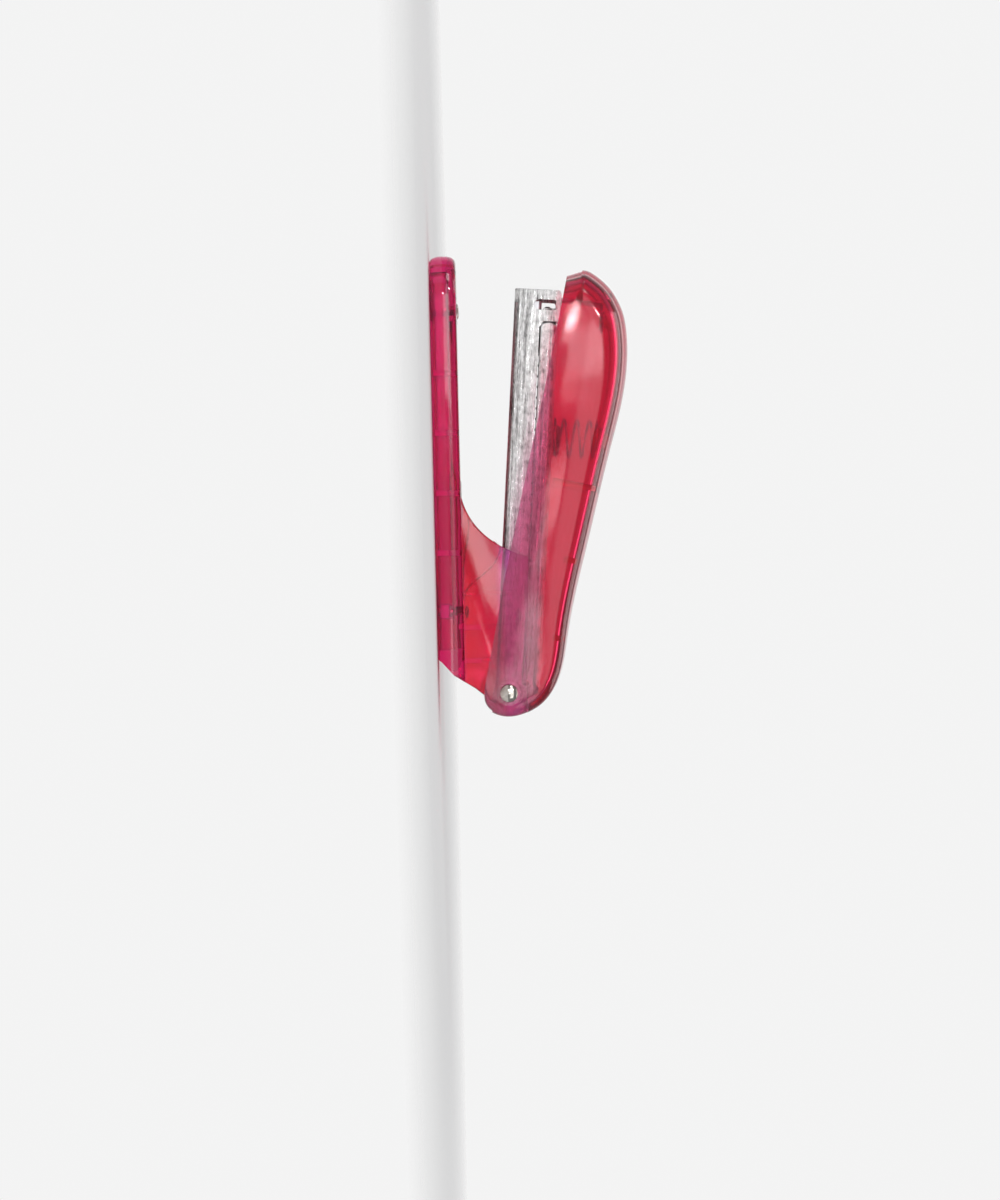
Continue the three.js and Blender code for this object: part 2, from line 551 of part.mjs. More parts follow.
// Side outline of the handle, closed along its lower edge and round the hinge.
function handleOutline() {
  const heel = [[-5.3, -1.7], [-4.4, -3.8], [-3, -4.8], [-1, HANDLE_EDGE]];
  const chin = [[HANDLE_REACH - 2, HANDLE_EDGE], [HANDLE_REACH - 0.7, -3.6]];
  const crown = [];
  for (let back = 0; back < 17; back += 1.1) crown.push(HANDLE_REACH - back);
  for (let reach = HANDLE_REACH - 19; reach > 4; reach -= 7) crown.push(reach);
  for (let reach = 3.9; reach > -5.2; reach -= 1) crown.push(reach);
  return heel.concat(chin, crown.map((reach) => [reach, follow(CROWN, reach)]));
}

// Half an arched cross-section, mirrored: straight band, step, swelling side, crown.
function archSection(reach, half, low, high, bandTop, step) {
  const inset = half - step;
  const side = [[inset, low], [inset, bandTop]];
  const foot = Math.min(bandTop + 0.4, high - 1);
  for (let i = 0; i <= 7; i += 1) {
    const angle = (Math.PI / 2) * (i / 7);
    const y = i === 7 ? 0 : half * Math.pow(Math.cos(angle), 0.33);
    side.push([y, foot + (high - foot) * Math.pow(Math.sin(angle), 0.6)]);
  }
  const mirrored = side.slice(0, -1).reverse().map(([y, z]) => [-y, z]);
  return side.concat(mirrored).map(([y, z]) => new THREE.Vector3(-reach, y, z));
}

// The arched sections joined into a solid. Behind the level reach the crown stays at one height.
function archLoft(reaches, { inset, step, drop, low, level }) {
  const sections = reaches.toSorted((a, b) => b - a).map((reach) => {
    const high = Math.max(follow(CROWN, Math.max(reach, level)) - drop, HANDLE_EDGE + BAND_HEIGHT + 2);
    return archSection(reach, handleHalfWidth(reach) - inset, low, high, HANDLE_EDGE + BAND_HEIGHT, step);
  });
  return solid(new LoftGeometry(sections, { capStart: true, capEnd: true }));
}

// The crown line moved inwards by the ceiling's thickness, from the nose to the open rear.
function innerOutline() {
  const line = [];
  const nose = [0.8, 2.2, 3.7, 5.2, 6.7, 8.2, 10.2, 13.2, 17.2].map((back) => HANDLE_REACH - back);
  const back = [0.75, 0.68, 0.6, 0.49, 0.38, 0.28, 0.17].map((share) => HANDLE_REACH * share);
  for (const reach of nose.concat(back, [8, 4, 2, 1, 0, -1, -2])) {
    const slope = (follow(CROWN, reach + 0.2) - follow(CROWN, reach - 0.2)) / 0.4;
    const scale = HANDLE_CEILING / Math.hypot(1, slope);
    line.push([reach + slope * scale, follow(CROWN, reach) - scale]);
  }
  const bottom = HANDLE_EDGE - 4;
  const open = 4.7;
  const kept = line.filter(([, height], i) => height > open || i < 10);
  const front = kept[0][0];
  return [[front, bottom], ...kept, [kept[kept.length - 1][0], open], [-9, open], [-9, bottom]];
}

function handleShell() {
  const nose = [17, 14, 11, 9, 7, 5, 3.6, 2.2, 1, -0.2].map((back) => HANDLE_REACH - back);
  const back = [0.215, 0.344, 0.472, 0.6, 0.71, 0.772].map((share) => HANDLE_REACH * share);
  const body = [-6, -4, -2.5, -1, 1.2, 4, 10].concat(back, nose);
  const outline = plate(handleOutline(), 60);
  const outside = { inset: 0, step: BAND_STEP, drop: 0, low: HANDLE_EDGE - 1, level: -5 };
  const outer = archLoft(body, outside).intersect(outline);
  const reaches = [-10].concat(body.filter((reach) => reach > 1 && reach < HANDLE_REACH - 1.2));
  const inside = { inset: HANDLE_WALL + BAND_STEP, step: 0, drop: 0.6, low: HANDLE_EDGE - 3, level: 1.2 };
  const cavity = archLoft(reaches, inside).intersect(plate(innerOutline(), 60));
  let shell = outer.subtract(cavity);

  // Ribs across the ceiling: reach, lower edge over the cover, lower edge beside it.
  const clear = HALF_MAGAZINE + 0.6;
  for (const [reach, middle, beside] of [[46.6, 8.6, 0.8], [30.5, 6.3, 6.3], [13.5, 7, 7]]) {
    let rib = block([reach - 0.5, reach + 0.5], [-20, 20], [beside, 20]);
    rib = rib.subtract(block([reach - 1, reach + 1], [-clear, clear], [beside - 1, middle]));
    shell = shell.add(rib.intersect(outer));
  }

  // Boss inside the coil spring.
  const turn = THREE.MathUtils.degToRad(HANDLE_TILT - MAGAZINE_TILT);
  const springTop = COVER_TOP + COIL_LENGTH;
  const bossReach = COIL_REACH * Math.cos(turn) + springTop * Math.sin(turn);
  const boss = [[0, 7.8], [2.2, 7.8], [2.6, 8.3], [2.6, 20], [0, 20]];
  shell = shell.add(turned(boss, bossReach, 0, 16).intersect(outer));

  // Stake that holds the driver blade's flange.
  const head = [[0, STAKE.low], [1.7, STAKE.low], [1.7, STAKE.low + 0.4]];
  const stake = head.concat([[0.9, STAKE.low + 0.4], [0.9, 20], [0, 20]]);
  shell = shell.add(turned(stake, STAKE.reach, 0, 12).intersect(outer));
  shell = shell.subtract(crossBar(PIN_HOLE, 0, 0, 60));
  return piece('handle_shell', shell, HANDLE_PLASTIC);
}

// ---- Driver blade, square to the magazine at half travel ----

const STAKE = { reach: BLADE_REACH - 3.35, low: 4.4 };

function driverBlade() {
  const half = HALF_CHANNEL - SEAT_GAP;
  const span = [BLADE_REACH - BLADE_THICKNESS / 2, BLADE_REACH + BLADE_THICKNESS / 2];
  let body = block(span, [-half, half], [BLADE_LOW, BLADE_HIGH]);
  const fold = [BLADE_HIGH - BLADE_THICKNESS, BLADE_HIGH];
  body = body.add(block([span[0] - BLADE_FLANGE, span[0] + 0.1], [-half, half], fold));
  const holeReach = STAKE.reach * Math.cos(BLADE_TURN) - 5 * Math.sin(BLADE_TURN);
  body = body.subtract(turned([[0, 8], [1.2, 8], [1.2, 16], [0, 16]], holeReach, 0, 12));
  return piece('driver_blade', body, SPRING_STEEL);
}

// ---- Assembly ----

// A group turned about the hinge axis, front up by the stated degrees.
function turnedGroup(degrees, pieces) {
  const group = new THREE.Group();
  group.position.z = PIN_HEIGHT;
  group.rotation.y = THREE.MathUtils.degToRad(degrees);
  group.add(...pieces);
  return group;
}

const inner = new THREE.Group();
inner.add(baseBody(), anvilPlate(), liftSpring(), liftSpringRivet(), hingePin(), pivotSleeve());
inner.add(anvilRivet('anvil_rivet_right', ANVIL_RIVETS[0]), anvilRivet('anvil_rivet_left', ANVIL_RIVETS[1]));
inner.add(turnedGroup(MAGAZINE_TILT, [magazine(), stapleRail(), magazineCover(), anchorPin(), pusher(),
  pusherRod(), pusherSpring(), springSeat(), handleSpring()]));
inner.add(turnedGroup(HANDLE_TILT - THREE.MathUtils.radToDeg(BLADE_TURN), [driverBlade()]));
inner.add(turnedGroup(HANDLE_TILT, [handleShell()]));

// The origin is under the middle of the whole object, on the table.
const box = new THREE.Box3().setFromObject(inner, true);
inner.position.set(-(box.min.x + box.max.x) / 2, 0, -box.min.z);
const stapler = new THREE.Group();
stapler.add(inner);

export default stapler;
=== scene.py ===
"""Looks of a small see-through hand stapler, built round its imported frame.

Every piece is drawn in millimetres from the hinge axis, with x running back from the mouth, and is then
placed in the row frame by the tilt of the sub-assembly that it belongs to.
"""

import json
import logging
import math
from dataclasses import dataclass
from enum import Enum
from typing import Sequence

import bmesh
import bpy
import numpy as np
from mathutils import Matrix, Vector


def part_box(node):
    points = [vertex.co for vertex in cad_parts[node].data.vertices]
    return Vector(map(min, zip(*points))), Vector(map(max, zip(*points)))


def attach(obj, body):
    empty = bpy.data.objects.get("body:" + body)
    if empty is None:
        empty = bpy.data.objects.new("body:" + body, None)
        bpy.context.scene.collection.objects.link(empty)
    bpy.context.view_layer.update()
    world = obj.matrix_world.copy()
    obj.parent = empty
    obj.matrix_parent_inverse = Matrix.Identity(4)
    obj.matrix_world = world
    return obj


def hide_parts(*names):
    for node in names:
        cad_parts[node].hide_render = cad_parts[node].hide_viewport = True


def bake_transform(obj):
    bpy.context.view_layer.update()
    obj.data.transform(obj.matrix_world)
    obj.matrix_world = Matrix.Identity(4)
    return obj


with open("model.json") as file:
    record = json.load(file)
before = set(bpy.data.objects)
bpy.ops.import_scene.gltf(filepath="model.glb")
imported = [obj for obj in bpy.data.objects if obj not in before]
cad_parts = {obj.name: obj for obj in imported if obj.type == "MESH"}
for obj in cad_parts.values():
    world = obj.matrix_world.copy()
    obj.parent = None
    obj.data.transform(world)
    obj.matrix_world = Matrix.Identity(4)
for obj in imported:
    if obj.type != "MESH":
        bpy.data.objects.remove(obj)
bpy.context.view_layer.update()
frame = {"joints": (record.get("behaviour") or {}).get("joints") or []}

LOG = logging.getLogger("stapler")
MM = 0.001
SHARP = math.radians(32)          # edges that turn more than this stay crisp
STRAIGHT = math.radians(88)       # half angle past which a corner isn't rounded
SAME_POINT = 1e-4                 # millimetres within which points are merged
RIM_STEPS = 3                     # segments of a plate's rounded rim
THROUGH = 99.0                    # long enough to pass right through the stapler

Knots = Sequence[tuple[float, float]]
Colour = tuple[float, float, float]
Span = tuple[float, float]
Socket = bpy.types.NodeSocket


# ---- Frame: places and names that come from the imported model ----


class Body(str, Enum):
    """The bodies that pieces ride on."""

    BASE = "base"
    MAGAZINE = "magazine"
    COVER = "cover"
    PUSHER = "pusher"
    HANDLE = "handle"


class Slot(str, Enum):
    """The record's material slots."""

    HANDLE = "handle_plastic"
    BASE = "base_plastic"
    ZINC = "zinc_steel"
    SPRING = "spring_steel"
    RIVET = "rivet_steel"


def node_centre(node: str) -> Vector:
    """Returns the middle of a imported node's box, in metres."""
    low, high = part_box(node)
    return (low + high) / 2


def slide_tilt() -> float:
    """Returns the magazine's tilt in degrees, from the direction in which the pusher slides."""
    slide = next(joint for joint in frame["joints"] if joint["type"] == "slide")
    along = slide["axis"]
    return math.degrees(math.atan2(-along[2], along[0]))


HINGE = node_centre("hinge_pin")
HINGE_HEIGHT = HINGE.z / MM
MAGAZINE_TILT = slide_tilt()
HANDLE_TILT = 12.0
BLADE_TURN = 4.75                 # between the driver blade and the handle, at rest


@dataclass(frozen=True)
class Tilt:
    """A sub-assembly's frame, turned front up, in millimetres from the hinge axis or the table under it."""

    degrees: float = 0.0
    on_table: bool = False

    def matrix(self) -> Matrix:
        """Returns the matrix from this frame's millimetres to metres in the row frame."""
        origin = Vector((HINGE.x, 0.0, 0.0 if self.on_table else HINGE.z))
        turn = Matrix.Rotation(math.radians(self.degrees), 4, "Y")
        return Matrix.Translation(origin) @ turn @ Matrix.Scale(MM, 4)


TABLE = Tilt(on_table=True)
UPRIGHT = Tilt()
CHANNEL = Tilt(MAGAZINE_TILT)
LEVER = Tilt(HANDLE_TILT)
BLADE = Tilt(HANDLE_TILT - BLADE_TURN)


# ---- Curves ----


def follow(knots: Knots, at: np.ndarray | float) -> np.ndarray:
    """Reads a smooth line through knots.

    Args:
        knots: (place, value) pairs, listed by growing place.
        at: the places to read.

    Returns:
        The values there, level past both ends.
    """
    x, y = np.array(knots, float).T
    at = np.clip(np.asarray(at, float), x[0], x[-1])
    slope = np.gradient(y, x)
    i = np.clip(np.searchsorted(x, at, side="right") - 1, 0, len(x) - 2)
    span = x[i + 1] - x[i]
    t = (at - x[i]) / span
    a, b = slope[i] * span, slope[i + 1] * span
    rise = y[i + 1] - y[i]
    return y[i] + t * a + t**2 * (3 * rise - 2 * a - b) + t**3 * (a + b - 2 * rise)


def spline(points: Sequence[Sequence[float]], count: int) -> np.ndarray:
    """Draws a curvature-continuous line through points.

    Args:
        points: the points, in order.
        count: how many points the line gets, evenly by length.

    Returns:
        An array of count points.
    """
    p = np.array(points, float)
    chord = np.concatenate([[0.0], np.cumsum(np.linalg.norm(np.diff(p, axis=0), axis=1))])
    n = len(p)
    h = np.diff(chord)
    rows = np.zeros((n, n))
    right = np.zeros_like(p)
    rows[0, 0] = rows[-1, -1] = 1.0
    for i in range(1, n - 1):
        rows[i, i - 1 : i + 2] = h[i - 1], 2 * (h[i - 1] + h[i]), h[i]
        right[i] = 6 * ((p[i + 1] - p[i]) / h[i] - (p[i] - p[i - 1]) / h[i - 1])
    bend = np.linalg.solve(rows, right)
    at = np.linspace(0, chord[-1], count)
    i = np.clip(np.searchsorted(chord, at, side="right") - 1, 0, n - 2)
    a = ((chord[i + 1] - at) / h[i])[:, None]
    b = ((at - chord[i]) / h[i])[:, None]
    curve = (a**3 - a) * bend[i] + (b**3 - b) * bend[i + 1]
    return a * p[i] + b * p[i + 1] + curve * (h[i] ** 2)[:, None] / 6


def arc(centre: Sequence[float], radius: float, start: float, end: float, steps: int) -> list[Span]:
    """Draws part of a circle in a plane.

    Args:
        centre: the circle's centre.
        radius: its radius.
        start: the first angle, in degrees from the first axis towards the second.
        end: the last angle.
        steps: how many segments it gets.

    Returns:
        The points, both ends among them.
    """
    angles = np.radians(np.linspace(start, end, steps + 1))
    return [(centre[0] + radius * math.cos(a), centre[1] + radius * math.sin(a)) for a in angles]


def rounded(points: Sequence[Sequence[float]], radii: float | Sequence[float], steps: int = 4) -> np.ndarray:
    """Rounds the corners of a closed outline.

    Args:
        points: the corners, in order.
        radii: one radius for all the corners, or one for each.
        steps: how many segments each rounded corner gets.

    Returns:
        The outline's points, corners of radius 0 left sharp.
    """
    p = np.array(points, float)
    sizes = np.broadcast_to(radii, len(p))
    made = []
    for i, corner in enumerate(p):
        back, ahead = p[i - 1] - corner, p[(i + 1) % len(p)] - corner
        reach_back, reach_ahead = np.linalg.norm(back), np.linalg.norm(ahead)
        back, ahead = back / reach_back, ahead / reach_ahead
        half = math.acos(float(np.clip(back @ ahead, -1, 1))) / 2
        if sizes[i] <= 0 or half > STRAIGHT:
            made.append(corner)
            continue
        cut = min(sizes[i] / math.tan(half), 0.49 * reach_back, 0.49 * reach_ahead)
        start, end = corner + back * cut, corner + ahead * cut
        made += [round_point((start, corner, end), half, t) for t in np.linspace(0, 1, steps + 1)]
    return np.array(made)


def round_point(ends: Sequence[np.ndarray], half: float, t: float) -> np.ndarray:
    """Finds a point of a round corner, on a rational curve that is a true arc.

    Args:
        ends: the curve's start, the corner, and the curve's end.
        half: half of the corner's angle, in radians.
        t: the share of the curve.

    Returns:
        The point.
    """
    start, corner, end = ends
    weight = math.sin(half)
    a, b, c = (1 - t) ** 2, 2 * t * (1 - t) * weight, t**2
    return (a * start + b * corner + c * end) / (a + b + c)


def outward(points: np.ndarray) -> np.ndarray:
    """Finds which way is out of a closed outline.

    Args:
        points: the outline's points, in either order.

    Returns:
        The mitred outward direction at each point.
    """
    ahead = np.roll(points, -1, axis=0) - points
    ahead /= np.maximum(np.linalg.norm(ahead, axis=1, keepdims=True), 1e-9)
    side = np.stack([ahead[:, 1], -ahead[:, 0]], axis=1)
    total = side + np.roll(side, 1, axis=0)
    total /= np.maximum(np.linalg.norm(total, axis=1, keepdims=True), 1e-9)
    total /= np.clip((total * side).sum(axis=1, keepdims=True), 0.5, 1)
    area = np.sum(points[:, 0] * np.roll(points[:, 1], -1) - np.roll(points[:, 0], -1) * points[:, 1])
    return total if area > 0 else -total


# ---- Solids ----


def solid(name: str, points: np.ndarray, faces: list[Sequence[int]]) -> bpy.types.Object:
    """Makes a closed mesh object with its faces pointing out.

    Args:
        name: the object's name.
        points: the vertices, in millimetres.
        faces: the faces, as lists of vertex numbers.

    Returns:
        The new object, linked to the scene.
    """
    mesh = bpy.data.meshes.new(name)
    mesh.from_pydata([tuple(map(float, p)) for p in points], [], [list(f) for f in faces])
    edited = bmesh.new()
    edited.from_mesh(mesh)
    bmesh.ops.remove_doubles(edited, verts=edited.verts, dist=SAME_POINT)
    bmesh.ops.recalc_face_normals(edited, faces=edited.faces)
    edited.to_mesh(mesh)
    edited.free()
    made = bpy.data.objects.new(name, mesh)
    bpy.context.scene.collection.objects.link(made)
    return made


def loft(name: str, rings: Sequence[np.ndarray]) -> bpy.types.Object:
    """Makes a solid from closed rings, with a flat face on the first and the last.

    Args:
        name: the object's name.
        rings: the rings, in order, each with the same number of points in millimetres.

    Returns:
        The new object.
    """
    points = np.concatenate(rings)
    n = len(rings[0])
    faces: list[Sequence[int]] = [list(range(n)), list(range(len(points) - n, len(points)))]
    for k in range(len(rings) - 1):
        for i in range(n):
            j = (i + 1) % n
            faces.append((k * n + i, k * n + j, (k + 1) * n + j, (k + 1) * n + i))
    return solid(name, points, faces)


def slab(name: str, outline: np.ndarray, span: Span, edge: float, plane: str = "xz") -> bpy.types.Object:
    """Makes a plate with rounded rims.

    Args:
        name: the object's name.
        outline: the plate's outline in its plane; in "xz" it is listed as (reach, height).
        span: where the plate starts and ends across its plane.
        edge: the radius of the rims.
        plane: "xz" for a plate seen from the side, "xy" for one seen from above, "yz" for one seen end on.

    Returns:
        The new object.
    """
    flat = np.array(outline, float)
    if plane != "yz":
        flat = flat * (-1, 1)
    out = outward(flat)
    rings = []
    for end, sign in ((span[0], 1), (span[1], -1)):
        angles = np.radians(np.linspace(0, 90, RIM_STEPS + 1))
        layer = [(edge * (1 - math.sin(a)), end + sign * edge * (1 - math.cos(a))) for a in angles]
        for inset, level in layer if sign > 0 else reversed(layer):
            ring = flat - out * inset
            column = np.full((len(ring), 1), level)
            if plane == "xz":
                rings.append(np.hstack([ring[:, :1], column, ring[:, 1:]]))
            elif plane == "xy":
                rings.append(np.hstack([ring, column]))
            else:
                rings.append(np.hstack([-column, ring]))
    return loft(name, rings)


def block(name: str, reach: Span, y: Span, height: Span, edge: float = 0.15) -> bpy.types.Object:
    """Makes a box with rounded edges.

    Args:
        name: the object's name.
        reach: the two reaches that it lies between.
        y: the two y values that it lies between.
        height: the two heights that it lies between.
        edge: the radius of its edges.

    Returns:
        The new object.
    """
    corners = [(reach[0], height[0]), (reach[1], height[0]), (reach[1], height[1]), (reach[0], height[1])]
    return slab(name, rounded(corners, edge * 1.2, 3), y, edge)


def turned(name: str, profile: Knots, at: Sequence[float], axis: str = "z", sides: int = 48
           ) -> bpy.types.Object:
    """Makes a turned piece.

    Args:
        name: the object's name.
        profile: (radius, place along the axis) pairs, from one end of the axis to the other.
        at: where the profile's origin lies, in millimetres.
        axis: "x", "y" or "z".
        sides: how many sides it has.

    Returns:
        The new object.
    """
    angles = np.linspace(0, 2 * math.pi, sides, endpoint=False)
    rings = []
    for radius, along in profile:
        a, b = radius * np.cos(angles), radius * np.sin(angles)
        c = np.full_like(a, along)
        columns = {"x": (c, a, b), "y": (b, c, a), "z": (a, b, c)}[axis]
        rings.append(np.stack(columns, axis=1) + np.array(at, float))
    return loft(name, rings)


def drill(radius: float, at: Sequence[float], axis: str = "z", sides: int = 48) -> bpy.types.Object:
    """Makes a rod that cuts a bore right through, at a place and along an axis."""
    return turned("bore", ((radius, -THROUGH), (radius, THROUGH)), at, axis, sides)


def baked(target: bpy.types.Object) -> bpy.types.Object:
    """Turns an object's modifiers into its plain mesh and returns the object."""
    graph = bpy.context.evaluated_depsgraph_get()
    mesh = bpy.data.meshes.new_from_object(target.evaluated_get(graph))
    old = target.data
    target.modifiers.clear()
    target.data = mesh
    bpy.data.meshes.remove(old)
    return target


class Join(str, Enum):
    """How one solid works on another."""

    ADD = "UNION"
    CUT = "DIFFERENCE"
    KEEP = "INTERSECT"


def work(target: bpy.types.Object, how: Join, *tools: bpy.types.Object) -> bpy.types.Object:
    """Joins tools to a solid, cuts them out of it, or keeps what it shares with them.

    Args:
        target: the solid that is changed.
        how: what the tools do to it.
        tools: the other solids, which are used up.

    Returns:
        The target.
    """
    for tool in tools:
        change = target.modifiers.new("join", "BOOLEAN")
        change.operation = how.value
        change.solver = "MANIFOLD"
        change.object = tool
        bpy.context.view_layer.update()
        baked(target)
        bpy.data.objects.remove(tool)
    return target


# ---- Node trees ----


class Graph:
    """Writes nodes into a tree, with values and links given together."""

    def __init__(self, tree: bpy.types.NodeTree) -> None:
        """Starts on a tree, left as it is."""
        self.tree = tree

    def node(self, kind: str, inputs: dict | None = None, **settings) -> bpy.types.Node:
        """Adds a node.

        Args:
            kind: the node's type.
            inputs: socket names or numbers, with a value or another node's output socket.
            settings: the node's own properties.

        Returns:
            The node.
        """
        made = self.tree.nodes.new(kind)
        for key, value in settings.items():
            setattr(made, key, value)
        for key, value in (inputs or {}).items():
            if isinstance(value, Socket):
                self.tree.links.new(value, made.inputs[key])
            else:
                made.inputs[key].default_value = value
        return made

    def math(self, operation: str, a: Socket | float, b: Socket | float = 0.0, clamp: bool = False) -> Socket:
        """Adds a Math node and returns its result."""
        return self.node("ShaderNodeMath", {0: a, 1: b}, operation=operation, use_clamp=clamp).outputs[0]

    def ramp(self, value: Socket, low: Socket | float, high: Socket | float, start: float,
             end: Socket | float) -> Socket:
        """Adds a clamped Map Range node, from low..high to start..end, and returns its result."""
        names = {"Value": value, "From Min": low, "From Max": high, "To Min": start, "To Max": end}
        return self.node("ShaderNodeMapRange", names).outputs["Result"]

    def mix(self, share: Socket | float, a: Socket | tuple, b: Socket | tuple, blend: str = "MIX") -> Socket:
        """Adds a colour mix and returns its result."""
        made = self.node("ShaderNodeMix", {0: share, 6: a, 7: b}, data_type="RGBA", blend_type=blend)
        return made.outputs[2]

    def noise(self, vector: Socket, scale: Socket | float, detail: float = 2.0, rough: float = 0.5) -> Socket:
        """Adds a noise texture and returns its value."""
        names = {"Vector": vector, "Scale": scale, "Detail": detail, "Roughness": rough}
        return self.node("ShaderNodeTexNoise", names).outputs[0]

    def scaled(self, vector: Socket, by: Socket) -> Socket:
        """Adds a stretch of coordinates, axis by axis, and returns its result."""
        return self.node("ShaderNodeVectorMath", {0: vector, 1: by}, operation="MULTIPLY").outputs[0]


def shader_group(name: str, inputs: dict[str, float], outputs: Sequence[str]
                 ) -> tuple[bpy.types.NodeTree, Graph]:
    """Starts a shader node group whose first input is the surface's coordinates.

    Args:
        name: the group's name.
        inputs: the names and usual values of its number inputs.
        outputs: the names of its value outputs.

    Returns:
        The group and a Graph on it. Its Group Input and Group Output are its first two nodes.
    """
    tree = bpy.data.node_groups.new(name, "ShaderNodeTree")
    tree.interface.new_socket(name="Vector", in_out="INPUT", socket_type="NodeSocketVector")
    for key, value in inputs.items():
        socket = tree.interface.new_socket(name=key, in_out="INPUT", socket_type="NodeSocketFloat")
        socket.default_value = value
    for key in outputs:
        tree.interface.new_socket(name=key, in_out="OUTPUT", socket_type="NodeSocketFloat")
    graph = Graph(tree)
    graph.node("NodeGroupInput")
    graph.node("NodeGroupOutput")
    return tree, graph


def rolled_grain() -> bpy.types.NodeTree:
    """Returns the group for drawn streaks along X: long ones, and short fine ones."""
    inputs = {"Scale": 900.0, "Stretch": 0.03}
    tree, graph = shader_group("rolled_grain", inputs, ["Streak", "Speck"])
    given, result = tree.nodes[0], tree.nodes[1]
    long = graph.node("ShaderNodeCombineXYZ", {0: given.outputs["Stretch"], 1: 1.0, 2: 1.0}).outputs[0]
    streak = graph.noise(graph.scaled(given.outputs["Vector"], long), given.outputs["Scale"], 3.0, 0.62)
    short = graph.node("ShaderNodeCombineXYZ", {0: 0.25, 1: 1.0, 2: 1.0}).outputs[0]
    finer = graph.math("MULTIPLY", given.outputs["Scale"], 2.6)
    speck = graph.noise(graph.scaled(given.outputs["Vector"], short), finer, 4.0, 0.7)
    graph.tree.links.new(streak, result.inputs["Streak"])
    graph.tree.links.new(speck, result.inputs["Speck"])
    return tree


def handling_marks() -> bpy.types.NodeTree:
    """Returns the group for what handling leaves: scuffs, hairline scratches and smears."""
    tree, graph = shader_group("handling_marks", {"Scale": 120.0, "Amount": 1.0}, ["Scuff", "Smear"])
    given, result = tree.nodes[0], tree.nodes[1]
    squeeze = graph.node("ShaderNodeCombineXYZ", {0: 1.0, 1: 4.0, 2: 7.0}).outputs[0]
    hair = graph.noise(graph.scaled(given.outputs["Vector"], squeeze), given.outputs["Scale"], 5.0, 0.75)
    thin = graph.ramp(hair, 0.60, 0.68, 0.0, 1.0)
    patchy = graph.ramp(graph.noise(given.outputs["Vector"], 60.0, 2.0), 0.45, 0.65, 0.0, 1.0)
    scuff = graph.math("MULTIPLY", graph.math("MULTIPLY", thin, patchy), given.outputs["Amount"])
    smear = graph.ramp(graph.noise(given.outputs["Vector"], 45.0, 3.0, 0.6), 0.35, 0.7, 0.0, 1.0)
    graph.tree.links.new(scuff, result.inputs["Scuff"])
    graph.tree.links.new(graph.math("MULTIPLY", smear, given.outputs["Amount"]), result.inputs["Smear"])
    return tree


def edge_wear() -> bpy.types.NodeTree:
    """Returns the group for rubbed corners: 1 on outer edges, broken up by noise."""
    tree, graph = shader_group("edge_wear", {"Amount": 1.0}, ["Worn"])
    given, result = tree.nodes[0], tree.nodes[1]
    corner = graph.ramp(graph.node("ShaderNodeNewGeometry").outputs["Pointiness"], 0.52, 0.6, 0.0, 1.0)
    broken = graph.ramp(graph.noise(given.outputs["Vector"], 700.0, 3.0), 0.35, 0.6, 0.2, 1.0)
    worn = graph.math("MULTIPLY", graph.math("MULTIPLY", corner, broken), given.outputs["Amount"], clamp=True)
    graph.tree.links.new(worn, result.inputs["Worn"])
    return tree


def settled_dust() -> bpy.types.NodeTree:
    """Returns the group for fine dust: specks, thicker on faces that look up."""
    tree, graph = shader_group("settled_dust", {"Amount": 1.0}, ["Dust"])
    given, result = tree.nodes[0], tree.nodes[1]
    normal = graph.node("ShaderNodeNewGeometry").outputs["Normal"]
    up = graph.ramp(graph.node("ShaderNodeSeparateXYZ", {0: normal}).outputs[2], -0.2, 1.0, 0.25, 1.0)
    specks = graph.ramp(graph.noise(given.outputs["Vector"], 2600.0, 2.0, 0.8), 0.66, 0.74, 0.0, 1.0)
    patches = graph.ramp(graph.noise(given.outputs["Vector"], 150.0, 2.0), 0.4, 0.7, 0.0, 1.0)
    dust = graph.math("MULTIPLY", graph.math("MULTIPLY", specks, patches), up)
    graph.tree.links.new(graph.math("MULTIPLY", dust, given.outputs["Amount"]), result.inputs["Dust"])
    return tree


# ---- Finishes ----


@dataclass(frozen=True)
class Finish:
    """A surface finish. Its material is made once and shared by the pieces that have it."""

    name: str

    def start(self) -> tuple[bpy.types.Material, Graph, bpy.types.Node, Socket]:
        """Returns a new material, a Graph on it, its Principled node and the piece's own coordinates."""
        made = bpy.data.materials.new(self.name)
        made.use_nodes = True
        graph = Graph(made.node_tree)
        shader = made.node_tree.nodes["Principled BSDF"]
        place = graph.node("ShaderNodeTexCoord").outputs["Object"]
        return made, graph, shader, place

    def group(self, graph: Graph, name: str, vector: Socket, **values: float) -> bpy.types.Node:
        """Places a shared group in the material.

        Args:
            graph: the material's graph.
            name: the group's name.
            vector: the coordinates that it reads.
            values: the group's inputs, with this material's own values.

        Returns:
            The group's node.
        """
        made = graph.node("ShaderNodeGroup", node_tree=bpy.data.node_groups[name])
        graph.tree.links.new(vector, made.inputs["Vector"])
        for key, value in values.items():
            made.inputs[key].default_value = value
        return made

    def material(self) -> bpy.types.Material:
        """Returns the finish's material."""
        return bpy.data.materials.get(self.name) or self.build()

    def build(self) -> bpy.types.Material:
        """Makes the finish's material."""
        raise NotImplementedError


